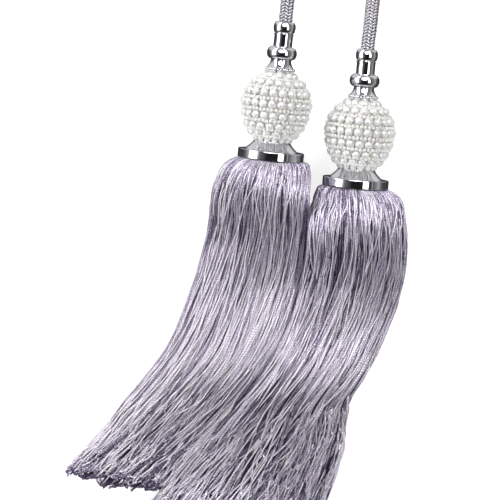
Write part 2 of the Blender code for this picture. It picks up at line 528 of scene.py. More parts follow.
@dataclass(frozen=True)
class StudioBoard:
    """Matt white board, lit from below like a light table."""

    color: str = "#bdbdbd"
    glow: float = 0.8
    grain_size: float = 2.5  # mm
    grain: tuple[float, float] = (0.8, 0.95)  # roughness of the smoothest and the dullest speck

    def material(self) -> Material:
        """Make an even white with the faintest paper grain.

        Returns:
            The material.
        """
        material, tree, shader = new_material("white_studio_board")
        place = add_node(tree, "TexCoord", {}).outputs["Object"]
        specks = {"Vector": place, "Scale": per_metre(self.grain_size)}
        grain = add_node(tree, "TexNoise", specks).outputs["Fac"]
        smooth, dull = self.grain
        gloss = add_node(tree, "MapRange", {"Value": grain, "To Min": smooth, "To Max": dull})
        look = {
            "Base Color": srgb(self.color),
            "Emission Color": (1.0, 1.0, 1.0, 1.0),
            "Emission Strength": self.glow,
            "Specular IOR Level": 0.1,
            "Roughness": gloss.outputs["Result"],
        }
        connect(tree, shader, look)
        return material


@dataclass(frozen=True)
class Finishes:
    """The object's materials, each made once and shared by its pieces."""

    chrome: Material
    pearl: Material
    seed: Material
    form: Material
    yarn: Material
    # inner is painted shade: the dark inside of the fringe and of the rope.
    inner: Material
    braid: Material


# ---------------------------------------------------------------- shared geometry


@dataclass(frozen=True)
class Axis:
    """The line that a tassel is threaded on. Stations run from the ball's centre."""

    side: Side
    x: float
    y: float
    lean: float  # degrees from +Y towards +X
    height: float = 23.0

    def point(self, station: float) -> Vector:
        """The point at a station, in millimetres."""
        lean = radians(self.lean)
        return Vector((self.x + station * sin(lean), self.y + station * cos(lean), self.height))

    def matrix(self) -> Matrix:
        """The matrix that lays a piece modelled along +Z onto this axis, in metres."""
        place = Matrix.Translation(self.point(0.0) * MM)
        return place @ Matrix.Rotation(-radians(self.lean), 4, "Z") @ Matrix.Rotation(-pi / 2, 4, "X")

    def name(self, part: str) -> str:
        """The name of this tassel's node or piece."""
        return f"{self.side.value}_{part}"


def lay_on_axis(piece: Piece, axis: Axis) -> None:
    """Lay a piece modelled along +Z onto a tassel's axis, with its place in its mesh.

    Args:
        piece: The piece.
        axis: The tassel's axis.
    """
    settle(piece)
    piece.matrix_world = axis.matrix()
    settle(piece)


def smooth_table(rows: np.ndarray, at: np.ndarray) -> np.ndarray:
    """Read a table of rows between its rows, on a smooth curve through every column.

    Args:
        rows: The table, one row a station.
        at: Row numbers, whole or not.

    Returns:
        One interpolated row for each number, in a new last axis.
    """
    padded = np.vstack([rows[:1], rows, rows[-1:]])
    start = np.clip(np.floor(at).astype(int), 0, len(rows) - 2)
    share = (at - start)[..., None]
    before, here, after, beyond = (padded[start + k] for k in range(4))
    bend = 2 * before - 5 * here + 4 * after - beyond
    twist = 3 * here - before - 3 * after + beyond
    return 0.5 * (2 * here + (after - before) * share + bend * share**2 + twist * share**3)


def ease(value: np.ndarray, begin: float, end: float) -> np.ndarray:
    """Rise smoothly from 0 at begin to 1 at end."""
    step = np.clip((value - begin) / (end - begin), 0.0, 1.0)
    return step * step * (3 - 2 * step)


def unit(vectors: np.ndarray) -> np.ndarray:
    """Vectors in the same directions, one unit long."""
    return vectors / np.maximum(np.linalg.norm(vectors, axis=-1, keepdims=True), 1e-6)


def hollow_cone(foot: tuple[float, float], neck: tuple[float, float], hollow: float, steps: int) -> Profile:
    """Rows of a cone whose side sweeps in quickly from its foot and slowly towards its neck.

    Args:
        foot: Station and radius at the wide end, in millimetres.
        neck: Station and radius at the narrow end, in millimetres.
        hollow: 1 for a straight side, and more for a hollower one.
        steps: Rows after the first one.

    Returns:
        The rows, from the foot to the neck.
    """
    rows = []
    for k in range(steps + 1):
        share = k / steps
        station = foot[0] + share * (neck[0] - foot[0])
        rows.append((station, neck[1] + (foot[1] - neck[1]) * (1 - share) ** hollow))
    return rows


def turned_piece(name: str, profile: Profile, sides: int, sharp: float = 38.0) -> Piece:
    """Turn a profile about +Z, as a filled circle that is extruded row by row.

    Args:
        name: The piece's name.
        profile: Station and radius of each row, in millimetres.
        sides: Faces round the piece.
        sharp: Edges over this many degrees stay crisp.

    Returns:
        The piece, still on +Z.
    """
    deselect_all()
    (station, radius), *rest = profile
    bpy.ops.mesh.primitive_circle_add(
        vertices=sides, radius=radius * MM, fill_type="NGON", location=(0, 0, station * MM)
    )
    piece = bpy.context.object
    piece.name = name
    bpy.ops.object.transform_apply(location=True)
    bpy.ops.object.mode_set(mode="EDIT")
    bpy.ops.mesh.select_all(action="SELECT")
    for next_station, next_radius in rest:
        rise = (0, 0, (next_station - station) * MM)
        bpy.ops.mesh.extrude_region_move(TRANSFORM_OT_translate={"value": rise})
        grow = next_radius / radius
        center = (0, 0, next_station * MM)
        bpy.ops.transform.resize(value=(grow, grow, 1), center_override=center)
        station, radius = next_station, next_radius
    face_outwards(piece)
    bpy.ops.object.shade_smooth_by_angle(angle=radians(sharp))
    return piece


def round_bead(name: str, radius: float, rings: int = 7) -> Piece:
    """A small smooth bead at the origin, to be copied.

    Args:
        name: The bead's name.
        radius: Its radius, in millimetres.
        rings: Rings of faces from end to end.

    Returns:
        The bead.
    """
    deselect_all()
    bpy.ops.mesh.primitive_uv_sphere_add(segments=rings + 3, ring_count=rings, radius=radius * MM)
    bead = bpy.context.object
    bead.name = name
    bpy.ops.object.shade_smooth()
    return bead


def bead_row(model: Piece, radius: float, station: float, count: int, start: float) -> list[Piece]:
    """Copies of a bead in a ring about +Z, each turned to face outwards.

    Args:
        model: The bead to copy.
        radius: From the axis to the beads' centres, in millimetres.
        station: Where the ring lies along the axis, in millimetres.
        count: How many beads.
        start: Angle of the first bead, in turns of one bead's share.

    Returns:
        The copies.
    """
    row = []
    for k in range(count):
        angle = tau * (k + start) / count
        place = Matrix.Rotation(angle, 4, "Z") @ Matrix.Translation((radius * MM, 0, station * MM))
        row.append(copy_to(model, place))
    return row


# ---------------------------------------------------------------- yarn as a mesh


def tube_faces(count: int, rings: int, sides: int) -> list[list[int]]:
    """Faces of closed tubes, whose points run round each ring and then from ring to ring.

    Args:
        count: How many tubes.
        rings: Rings of points on each tube.
        sides: Points on each ring.

    Returns:
        The side faces of all tubes, then all their first ends and all their last ends.
    """
    first = (np.arange(count) * rings * sides)[:, None, None]
    low = first + (np.arange(rings - 1) * sides)[None, :, None]
    here = np.arange(sides)
    after = (here + 1) % sides
    quads = np.stack([low + here, low + sides + here, low + sides + after, low + after], axis=-1)
    first_ends = first[:, 0] + here
    last_ends = first[:, 0] + (rings - 1) * sides + here[::-1]
    return quads.reshape(-1, 4).tolist() + first_ends.tolist() + last_ends.tolist()


def tube_map(along: np.ndarray, sides: int) -> np.ndarray:
    """The map of closed tubes: turns round, and millimetres along.

    Args:
        along: How far along its tube each ring lies, as tube, ring.
        sides: Points on each ring.

    Returns:
        A map point for each corner of each face, in the order of tube_faces.
    """
    count, rings = along.shape
    shape = (count, rings - 1, sides)
    turns = np.arange(sides) / sides
    around = np.broadcast_to(turns, shape)
    lower = np.broadcast_to(along[:, :-1, None], shape)
    upper = np.broadcast_to(along[:, 1:, None], shape)
    beside = around + 1 / sides
    corners = [(around, lower), (around, upper), (beside, upper), (beside, lower)]
    side_map = np.stack([np.stack(pair, axis=-1) for pair in corners], axis=-2).reshape(-1, 2)
    ends = [(turns, along[:, :1]), (turns[::-1], along[:, -1:])]
    end_maps = [np.stack(np.broadcast_arrays(*pair), axis=-1).reshape(-1, 2) for pair in ends]
    return np.vstack([side_map, *end_maps])


def tube_piece(name: str, points: np.ndarray) -> Piece:
    """Closed tubes as one smooth piece.

    Args:
        name: The piece's name.
        points: Their surface in millimetres, as tube, ring, side, xyz.

    Returns:
        The piece.
    """
    mesh = bpy.data.meshes.new(name)
    mesh.from_pydata(points.reshape(-1, 3) * MM, [], tube_faces(*points.shape[:3]))
    mesh.shade_smooth()
    piece = bpy.data.objects.new(name, mesh)
    bpy.context.scene.collection.objects.link(piece)
    return piece


def yarn_piece(name: str, points: np.ndarray, along: np.ndarray, tones: np.ndarray) -> Piece:
    """Many yarns as one piece. Operators can't lay this many one by one.

    Args:
        name: The piece's name.
        points: Their surface in millimetres, as yarn, ring, side, xyz.
        along: How far along its yarn each ring lies, as yarn, ring.
        tones: From 0, dark, to 1, light, as yarn, ring.

    Returns:
        The piece, with the map "yarn" and the point value "tone".
    """
    sides = points.shape[2]
    piece = tube_piece(name, points)
    layer = piece.data.uv_layers.new(name="yarn")
    layer.uv.foreach_set("vector", tube_map(along, sides).astype(np.float32).ravel())
    tone = piece.data.attributes.new("tone", "FLOAT", "POINT")
    tone.data.foreach_set("value", np.repeat(tones.ravel(), sides).astype(np.float32))
    return piece


def round_yarns(
    name: str, paths: np.ndarray, widths: np.ndarray, sides: int, tones: np.ndarray, starts: np.ndarray
) -> Piece:
    """Round yarns along their paths, as one piece.

    Args:
        name: The piece's name.
        paths: Centres in millimetres, as yarn, ring, xyz.
        widths: Radius of each ring in millimetres, as yarn, ring.
        sides: Faces round a yarn.
        tones: From 0, dark, to 1, light, as yarn, ring.
        starts: Where each yarn's twist begins, in millimetres.

    Returns:
        The piece.
    """
    flow = unit(np.gradient(paths, axis=1))
    side = unit(np.cross(flow, (0.0, 0.0, 1.0)))
    rise = np.cross(side, flow)
    angles = tau * np.arange(sides) / sides
    spokes = side[:, :, None] * np.cos(angles)[:, None] + rise[:, :, None] * np.sin(angles)[:, None]
    points = paths[:, :, None] + spokes * widths[:, :, None, None]
    steps = np.linalg.norm(np.diff(paths, axis=1), axis=2)
    along = np.concatenate([np.zeros((len(paths), 1)), np.cumsum(steps, axis=1)], axis=1)
    return yarn_piece(name, points, along + starts[:, None], tones)


# ---------------------------------------------------------------- the turned pieces


@dataclass
class Finial:
    """Chrome finial: bell on the ball, big ring, straight neck and the rope's collar."""

    axis: Axis
    sides: int = 64
    lip_station: float = 23.3
    lip_radius: float = 9.2
    lip_height: float = 0.9
    bell_foot: tuple[float, float] = (24.5, 8.5)
    bell_hollow: float = 1.9
    waist: tuple[float, float] = (29.4, 6.5)
    ring: tuple[float, float, float] = (33.7, 3.9, 9.6)  # station, half length, radius
    ring_foot: float = 6.8
    neck_radius: float = 6.0
    neck_end: float = 46.4
    # Where the neck's thin raised line begins and ends, before the neck's end, and its rise.
    raised_line: tuple[float, float, float] = (1.1, 0.5, 0.35)
    collar: tuple[float, float, float] = (50.2, 3.7, 7.1)
    mouth_radius: float = 5.0
    mouth_depth: float = 3.0
    scallops: int = 28
    scallop_radius: float = 0.9

    def lip(self) -> Profile:
        """Rows of the thin upright edge that stands on the ball.

        Returns:
            The rows.
        """
        top = self.lip_station + self.lip_height
        low = [(self.lip_station, self.lip_radius - 0.6), (self.lip_station + 0.1, self.lip_radius)]
        return [*low, (top, self.lip_radius), (top + 0.1, self.lip_radius - 0.4)]

    def big_ring(self, steps: int = 12) -> Profile:
        """Rows of the big ring, a half-round swelling.

        Args:
            steps: Rows after the first one.

        Returns:
            The rows.
        """
        middle, half, crest = self.ring
        swell = crest - self.ring_foot
        angles = [pi * (k / steps - 0.5) for k in range(steps + 1)]
        return [(middle + half * sin(a), self.ring_foot + swell * max(0.0, cos(a)) ** 0.95) for a in angles]

    def neck(self) -> Profile:
        """Rows of the straight neck and the thin raised line at its end.

        Returns:
            The rows.
        """
        begin, end, rise = self.raised_line
        return [
            (self.ring[0] + self.ring[1] + 0.5, self.neck_radius),
            (self.neck_end - begin - 0.2, self.neck_radius),
            (self.neck_end - begin, self.neck_radius + rise),
            (self.neck_end - end, self.neck_radius + rise),
            (self.neck_end - end + 0.2, self.neck_radius - 0.25),
        ]

    def rope_collar(self, steps: int = 12) -> Profile:
        """Rows of the collar, a bead that ends in the rope's mouth.

        Args:
            steps: Rows after the first one.

        Returns:
            The rows, and two more inside the mouth.
        """
        middle, half, crest = self.collar
        rows = []
        for k in range(steps + 1):
            reach = -cos(pi * k / steps)
            foot = self.neck_radius - 0.3 if reach < 0 else self.mouth_radius
            rows.append((middle + half * reach, foot + (crest - foot) * sqrt(max(0.0, 1 - reach**2))))
        top = middle + half
        inside = self.mouth_radius - 0.4
        return [*rows, (top - 0.3, inside), (top - self.mouth_depth, inside)]

    def build(self, chrome: Material) -> None:
        """Model the finial with its scalloped lip.

        Args:
            chrome: The plating.
        """
        name = self.axis.name("finial_turned")
        bell = hollow_cone(self.bell_foot, self.waist, self.bell_hollow, 6)
        profile = [*self.lip(), *bell, *self.big_ring(), *self.neck(), *self.rope_collar()]
        body = turned_piece(name, profile, self.sides)
        scallop = round_bead("scallop", self.scallop_radius)
        edge = bead_row(scallop, self.lip_radius - 0.3, self.lip_station + 0.1, self.scallops, 0.25)
        bpy.data.objects.remove(scallop)
        piece = join_pieces([body, *edge], name)
        lay_on_axis(piece, self.axis)
        piece.data.materials.append(chrome)
        hand_over(piece, Slot.CHROME, self.axis.name("finial"))


@dataclass
class Cup:
    """Chrome cup: hollow-sided cone under the ball, a ledge and an upright rim band."""

    axis: Axis
    sides: int = 96
    neck: tuple[float, float] = (-22.7, 11.7)
    foot: tuple[float, float] = (-28.4, 16.9)
    hollow: float = 1.35
    ledge: float = -28.7
    rim_radius: float = 21.2
    rim_end: float = -34.2
    lip: float = 0.45  # mm, the small rounded lip at each edge of the band
    lip_round: float = 0.12  # mm that the lip's corner is cut back
    band_sink: float = 0.05  # mm that the band lies under its lips

    def rim_band(self) -> Profile:
        """Rows from under the band, over its two lips and in along the ledge.

        Returns:
            The rows.
        """
        edge = self.rim_radius - self.lip
        band = self.rim_radius - self.band_sink
        corner = self.rim_radius - self.lip_round
        return [
            (self.rim_end, edge - 0.6),
            (self.rim_end, edge),
            (self.rim_end + 0.15, corner),
            (self.rim_end + self.lip, self.rim_radius),
            (self.rim_end + 0.8, band),
            (self.ledge - 0.9, band),
            (self.ledge - self.lip - 0.1, self.rim_radius),
            (self.ledge - 0.2, corner),
            (self.ledge, edge),
            (self.ledge - 0.1, edge - 0.5),
            (self.ledge, self.foot[1] + 0.6),
        ]

    def build(self, chrome: Material) -> None:
        """Model the cup.

        Args:
            chrome: The plating.
        """
        profile = [*self.rim_band(), *hollow_cone(self.foot, self.neck, self.hollow, 8)]
        piece = turned_piece(self.axis.name("cup_turned"), profile, self.sides, 30.0)
        lay_on_axis(piece, self.axis)
        piece.data.materials.append(chrome)
        hand_over(piece, Slot.CHROME, self.axis.name("cup"))


@dataclass
class PearlBall:
    """Ball of pearl rows on a moulded form, with a string of glass beads in each groove."""

    axis: Axis
    start: float  # turn of the first row, in beads
    form_sides: int = 48
    form_radius: float = 19.8
    form_half_length: float = 23.4
    form_low: float = -21.6
    form_high: float = 22.4
    form_steps: int = 20
    pearl_radius: float = 2.95
    small_radius: float = 2.3
    seed_radius: float = 1.25
    seed_rise: float = 1.6  # mm that the glass beads lie over the pearls' centres
    seed_pitch: float = 2.04  # from bead to bead, in their radius
    # Station, radius and number of pearls of each row, from the finial to the cup.
    rows: tuple[tuple[float, float, int], ...] = (
        (18.9, 9.8, 10),
        (14.6, 15.1, 16),
        (8.7, 18.9, 20),
        (1.7, 20.45, 22),
        (-5.7, 19.55, 21),
        (-12.4, 17.2, 18),
        (-17.1, 14.1, 15),
    )
    top_row: tuple[float, float, int] = (21.9, 7.0, 10)
    small_row: tuple[float, float, int] = (-20.9, 10.9, 15)

    def form(self) -> Piece:
        """Turn the inner form, an ellipsoid with flat ends.

        Returns:
            The form.
        """
        profile = []
        for k in range(self.form_steps + 1):
            station = self.form_low + (self.form_high - self.form_low) * k / self.form_steps
            reach = abs(station) / self.form_half_length
            profile.append((station, self.form_radius * sqrt(1 - reach**2)))
        return turned_piece(self.axis.name("ball_form"), profile, self.form_sides)

    def pearls(self) -> Piece:
        """All the pearls, as rows about +Z, each half a bead round from the last.

        Returns:
            The pearls as one piece.
        """
        big = round_bead("pearl", self.pearl_radius)
        small = round_bead("small_pearl", self.small_radius)
        beads = []
        for number, (station, radius, count) in enumerate(self.rows):
            beads += bead_row(big, radius, station, count, self.start + 0.5 * (number % 2))
        for station, radius, count in (self.top_row, self.small_row):
            beads += bead_row(small, radius, station, count, self.start)
        for model in (big, small):
            bpy.data.objects.remove(model)
        return join_pieces(beads, self.axis.name("ball_pearls"))

    def seeds(self) -> Piece:
        """The strings of glass beads between the rows of pearls.

        Returns:
            The glass beads as one piece.
        """
        seed = round_bead("seed_bead", self.seed_radius, 6)
        beads = []
        for upper, lower in zip(self.rows, (*self.rows[1:], self.small_row)):
            station = (upper[0] + lower[0]) / 2
            radius = (upper[1] + lower[1]) / 2 + self.seed_rise
            count = round(tau * radius / (self.seed_pitch * self.seed_radius))
            beads += bead_row(seed, radius, station, count, self.start + 0.25)
        bpy.data.objects.remove(seed)
        return join_pieces(beads, self.axis.name("ball_seeds"))

    def build(self, finishes: Finishes) -> None:
        """Model the form, the pearls and the glass beads.

        Args:
            finishes: The object's materials.
        """
        form = self.form()
        dressed = (
            (self.pearls(), finishes.pearl, [self.axis.name("ball")]),
            (self.seeds(), finishes.seed, []),
            (form, finishes.form, []),
        )
        for piece, finish, nodes in dressed:
            lay_on_axis(piece, self.axis)
            piece.data.materials.append(finish)
            hand_over(piece, Slot.PEARL, *nodes)


# ---------------------------------------------------------------- the fringe


@dataclass(frozen=True)
class Change:
    """A value that comes in smoothly over one stretch, such as a stretch of the yarn."""

    amount: float
    begin: float
    end: float

    def at(self, where: np.ndarray) -> np.ndarray:
        """The value at each place: 0 up to the beginning, the whole amount from the end."""
        return self.amount * ease(where, self.begin, self.end)


@dataclass(frozen=True)
class Sway:
    """Smooth random waves along the yarn, of which every yarn or lock gets its own."""

    swing: float
    waves: tuple[float, ...]  # waves along the whole length, from slow to fast
    steady: float = 1.0  # share of the swing all along
    growing: float = 0.0  # more of it, with the square of the length
    late: Change = Change(0.0, 0.0, 1.0)  # more of it near the end

    def curves(self, draw: Random, count: int, rings: int) -> np.ndarray:
        """Draw the waves.

        Args:
            draw: The seeded source of random numbers.
            count: How many curves.
            rings: Points on each curve.

        Returns:
            The curves, as yarn, ring.
        """
        share = np.linspace(0.0, 1.0, rings)[None, :]
        total = np.zeros((count, rings))
        for wave in self.waves:
            start = draw.uniform(0, tau, (count, 1))
            total += draw.normal(0, 1, (count, 1)) * np.sin(tau * wave * share + start)
        grown = self.steady + self.growing * share**2 + self.late.at(share)
        return self.swing * (total / sqrt(len(self.waves))) * grown


@dataclass(frozen=True)
class FringeLie:
    """How one fringe lies, and what its light and dark bands say of its yarn."""

    # Left edge x, y, right edge x, y, crest height, height of the widest line, underside.
    rows: tuple[tuple[float, ...], ...]
    # Waves kept from the hank: mm that the crest swings from the rows, every half row from
    # the neck, where the fringes meet and on the outer side.
    inner_crimp: tuple[float, ...]
    outer_crimp: tuple[float, ...]
    skew: float  # rows by which the last wave runs ahead at the right edge
    dull: tuple[float, float, float]  # painted shade: tone that the lower yarn loses: left, right, at the end
    painted_crest_light: float  # painted light: tone that the yarn gains along the crest
    trim: tuple[float, float, float]  # rows added to the ends at the right, middle and left


@dataclass(frozen=True)
class FringeForm:
    """The outer form of a fringe, from its round neck to where its yarn is cut.

    Its rows are the CAD solid's own: the yarn's left and right edge in plan, the height
    of its crest and of its widest line, and how far the underside is pressed flat.
    """

    axis: Axis
    lie: FringeLie
    seed: int
    cup_end: float = -34.5
    neck_radius: float = 20.3
    meet: float = 2.3  # mm that the fringes spread towards each other
    meet_row: int = 3  # the first row at which they touch
    overrun: float = 0.8  # rows that the table goes on past its last one
    thinning: tuple[float, float, float] = (0.75, 0.75, 1.0)  # of the heights and underside there
    height_end: float = 9.4  # row number from which the heights stay as they are
    halves: tuple[float, float] = (-0.3, 0.7)  # across: where one side's form passes into the other's
    fullness: float = 0.75  # how square the inner shoulder is, where the fringes press
    full_rows: tuple[float, float] = (1.5, 3.5)  # rows over which it gets square
    under_depth: float = 0.3  # share of the depth that counts on the underside
    lowest: float = YARN_RADIUS + 0.02  # mm from the surface to the centre of the lowest yarn
    cut_row: float = 9.1  # row number, before the trim
    cut_clump: float = 0.055  # rows, unevenness of the clumps that end together
    # Strength of each set of clumps, its waves round the section, and whether the seed turns it.
    clumps: tuple[tuple[float, float, int], ...] = ((1.0, 9.0, 1), (0.7, 17.0, 0), (0.8, 37.0, 0))
    cut_spread: float = 0.03  # rows, unevenness of single yarns
    cut_rise: float = 0.34  # rows by which the crest's yarn ends before the edges' yarn

    def table(self) -> np.ndarray:
        """All rows, from the neck under the cup to a little past the last one.

        Returns:
            The table, with the columns of the rows.
        """
        lean = radians(self.axis.lean)
        middle = self.axis.point(self.cup_end)
        out = Vector((cos(lean), -sin(lean), 0)) * self.neck_radius
        left, right = middle - out, middle + out
        height = self.axis.height
        sink = self.neck_radius / height
        neck = (left.x, left.y, right.x, right.y, height + self.neck_radius, height, sink)
        table = np.array([neck, *self.lie.rows])
        if self.axis.side is Side.LEFT:
            table[self.meet_row :, 2] += self.meet
        else:
            table[self.meet_row :, 0] -= self.meet
        beyond = table[-1] + self.overrun * (table[-1] - table[-2])
        beyond[4:] = table[-1, 4:] * self.thinning
        return np.vstack([table, beyond])

    def surface(
        self, at: np.ndarray, angle: np.ndarray, depth: np.ndarray, slide: np.ndarray
    ) -> np.ndarray:
        """Points in the fringe.

        Args:
            at: Row numbers.
            angle: Round the section, from 0 at the right edge over the crest, in radians.
            depth: Millimetres under the fringe's outer surface.
            slide: Rows by which a yarn's rise and fall run ahead of the others'.

        Returns:
            Points in millimetres, in a new last axis.
        """
        table = self.table()
        left_x, left_y, right_x, right_y = np.moveaxis(smooth_table(table[:, :4], at), -1, 0)
        ahead = np.clip(at + slide, 0.0, self.height_end)
        top, middle, sink = np.moveaxis(smooth_table(table[:, 4:], ahead), -1, 0)
        inner = np.cos(angle) * (1 if self.axis.side is Side.LEFT else -1)
        crimps = np.array((self.lie.inner_crimp, self.lie.outer_crimp)).T
        inner_swing, outer_swing = np.moveaxis(smooth_table(crimps, 2 * ahead), -1, 0)
        top = top + inner_swing + (outer_swing - inner_swing) * ease(-inner, *self.halves)
        half_x, half_y = (right_x - left_x) / 2, (right_y - left_y) / 2
        half = np.hypot(half_x, half_y)
        across = np.cos(angle) * (1 - depth / half)
        rise = np.sin(angle)
        full = 1.0 - self.fullness * ease(inner, *self.halves) * ease(at, *self.full_rows)
        upper = middle + (top - middle - depth) * np.maximum(rise, 0.0) ** full
        lower = np.maximum(middle * (1 + sink * rise) - depth * rise * self.under_depth, 0.0)
        height = np.maximum(np.where(rise > 0, upper, lower), np.maximum(depth, self.lowest))
        x = (left_x + right_x) / 2 + half_x * across
        y = (left_y + right_y) / 2 + half_y * across
        return np.stack([x, y, height], axis=-1)

    def ends(self, draw: Random, angle: np.ndarray) -> np.ndarray:
        """Row numbers at which yarns are cut, the upper ones before the lower ones.

        Args:
            draw: The seeded source of random numbers.
            angle: Where each yarn ends, round the section.

        Returns:
            A row number for each angle.
        """
        extra = np.interp(-np.cos(angle), (-1.0, 0.0, 1.0), self.lie.trim)
        waves = [size * np.sin(count * angle + turned * self.seed) for size, count, turned in self.clumps]
        uneven = self.cut_clump * sum(waves) + draw.normal(0.0, self.cut_spread, angle.shape)
        return self.cut_row + extra + uneven - self.cut_rise * np.maximum(0.0, np.sin(angle))


@dataclass(frozen=True)
class YarnTones:
    """How light each yarn is along its length, from 0, dark, to 1, light, with painted light and shade in
    it.

    The values are kept on the yarn's points and are the same from all sides. Each change
    runs over a stretch of the yarn's length, from 0 at the neck to 1 at the cut end.
    """

    lie: FringeLie
    usual: float = 1.47  # over 1, because the painted shade by depth and place takes most of it away
    yarn_spread: float = 0.36
    lock_spread: float = 0.06
    more_mixed: Change = Change(0.2, 0.5, 0.9)  # growth of the spread between yarns
    shade: float = 0.5  # painted shade: tone lost for each millimetre under the outer surface
    # How much less that is past the neck, and again low down.
    less_shade: tuple[Change, Change] = (Change(0.12, 0.1, 0.25), Change(0.1, 0.6, 0.75))
    drift: Sway = Sway(0.06, (3.0, 5.0))

    painted_light_band: Change = Change(0.24, 0.42, 0.52)  # painted light: tone gained from the middle on
    low_across: tuple[float, float] = (-0.4, 0.5)  # from the left painted shade low down to the right one
    low_stretch: tuple[float, float] = (0.62, 0.76)
    end_stretch: tuple[float, float] = (0.78, 0.92)
    painted_crest_place: tuple[float, float] = (0.25, 0.4)  # the painted crest light's middle across, and its width
    # Painted shade: tone lost towards the left edge past the neck, and more of it past the middle.
    edge_shade: tuple[Change, Change] = (Change(0.2, 0.2, 0.35), Change(0.1, 0.5, 0.65))
    edge_across: tuple[float, float] = (0.4, 0.95)
    painted_neck_light: float = 0.55  # painted light and shade at the neck: the crest lighter, the sides darker
    painted_neck_crest: tuple[float, float] = (0.8, 1.0)  # rise over which the sides pass into the crest
    painted_neck_middle: float = 0.45
    painted_neck_stretch: tuple[float, float] = (0.05, 0.2)
    painted_flank_shade: Change = Change(0.35, 0.7, 0.85)  # painted shade: tone lost on the flanks and under the fringe
    flank: tuple[float, float] = (-0.45, 0.0)

    cut: Change = Change(1.0, 0.95, 0.975)  # where the cut end's tone takes over
    # Painted shade: the cut ends are painted darker than the rest of the yarn.
    cut_tone: float = 0.5
    cut_mixed: float = 0.6  # share of a yarn's own tone that its cut end keeps
    cut_painted_top_light: Change = Change(0.4, 0.0, 0.6)  # painted light: gained with the height in the section

    stray_tone: float = 1.6
    stray_spread: float = 0.15
    stray_shade: float = 0.1
    stray_painted_shade: tuple[float, float] = (0.35, 0.9)  # painted shade: tone lost low down, and more of it by the end's painted shade
    stray_stretch: tuple[float, float] = (0.75, 0.9)
    tuft_tone: float = 1.55
    tuft_spread: float = 0.25
    tuft_shade: float = 0.12

    def laid(
        self, draw: Random, share: np.ndarray, angle: np.ndarray, depth: np.ndarray, locks: np.ndarray
    ) -> np.ndarray:
        """Tones of the yarn that is laid in locks.

        Args:
            draw: The seeded source of random numbers.
            share: From 0 at the neck to 1 at the end.
            angle: Round the section, as yarn, ring.
            depth: Millimetres under the outer surface, as yarn, ring.
            locks: The number of the lock that each yarn is in.

        Returns:
            The tones, as yarn, ring.
        """
        count, rings = angle.shape
        lock_count = int(locks.max()) + 1  # each lock holds yarn, the last one too
        rise = np.sin(angle)
        own = draw.normal(0.0, self.yarn_spread, (count, 1))
        own = own + draw.normal(0.0, self.lock_spread, (lock_count, 1))[locks]
        tone = self.usual + own * (1.0 + self.more_mixed.at(share))
        painted_neck_light, low = self.less_shade
        # Painted shade: the deeper a yarn lies, the darker it is.
        tone = tone - (self.shade - painted_neck_light.at(share) - low.at(share)) * depth
        tone = tone + self.drift.curves(draw, count, rings)
        # Painted light and shade by place along the fringe.
        tone = tone + self.painted_light_and_shade(share, np.cos(angle), rise)
        cut = self.cut.at(share)
        # The cut end takes its painted shade, and is lighter towards the top of the section.
        return tone * (1 - cut) + (self.cut_tone + self.cut_mixed * own + self.cut_painted_top_light.at(rise)) * cut

    def painted_light_and_shade(self, share: np.ndarray, across: np.ndarray, rise: np.ndarray) -> np.ndarray:
        """Painted light and shade by place: lighter on the neck's crest, along the crest and from the
        middle on; painted shade low down, at the end, towards the left edge, on the neck's sides, on the
        flanks and under the fringe.

        Args:
            share: From 0 at the neck to 1 at the end.
            across: From -1 at the left edge to 1 at the right edge.
            rise: From -1 under the fringe to 1 on its crest.

        Returns:
            Tone to be added.
        """
        # dull holds painted shade: tone lost low down on the left and the right, and at the end.
        left, right, end = self.lie.dull
        low = left + (right - left) * ease(across, *self.low_across)
        tone = self.painted_light_band.at(share) - low * ease(share, *self.low_stretch)
        tone = tone - end * ease(share, *self.end_stretch)
        middle, width = self.painted_crest_place
        tone = tone + self.lie.painted_crest_light * np.exp(-(((across - middle) / width) ** 2)) * (rise > 0)
        upper, lower = self.edge_shade
        tone = tone - (upper.at(share) + lower.at(share)) * ease(-across, *self.edge_across)
        contrast = self.painted_neck_light * (1 - ease(share, *self.painted_neck_stretch))
        tone = tone + contrast * (ease(rise, *self.painted_neck_crest) - self.painted_neck_middle)
        return tone - self.painted_flank_shade.at(share) * ease(-rise, *self.flank)

    def strays(self, draw: Random, share: np.ndarray, depth: np.ndarray) -> np.ndarray:
        """Tones of loose yarn that lies over the rest.

        Args:
            draw: The seeded source of random numbers.
            share: From 0 at the neck to 1 at the end.
            depth: Millimetres under the outer surface, as yarn, ring.

        Returns:
            The tones, as yarn, ring.
        """
        own = draw.normal(0.0, self.stray_spread, (len(depth), 1))
        usual, more = self.stray_painted_shade
        # Painted shade low down, and more of it where the end is painted darker.
        dull = (usual + more * self.lie.dull[2]) * ease(share, *self.stray_stretch)
        return self.stray_tone + own - self.stray_shade * depth - dull

    def tufts(self, draw: Random, depth: np.ndarray) -> np.ndarray:
        """Tones of the tangled ends."""
        own = draw.normal(0.0, self.tuft_spread, (len(depth), 1))
        return self.tuft_tone + own - self.tuft_shade * depth


@dataclass
class Yarns:
    """Yarns that are laid in place."""

    paths: np.ndarray  # their centres in millimetres, as yarn, ring, xyz
    tones: np.ndarray  # from 0, dark, to 1, light, as yarn, ring

    def pick(self, chosen: np.ndarray) -> "Yarns":
        """Some of the yarns, by their numbers."""
        return Yarns(self.paths[chosen], self.tones[chosen])

    def with_more(self, more: "Yarns") -> "Yarns":
        """These yarns, followed by others with as many rings."""
        return Yarns(np.vstack([self.paths, more.paths]), np.vstack([self.tones, more.tones]))


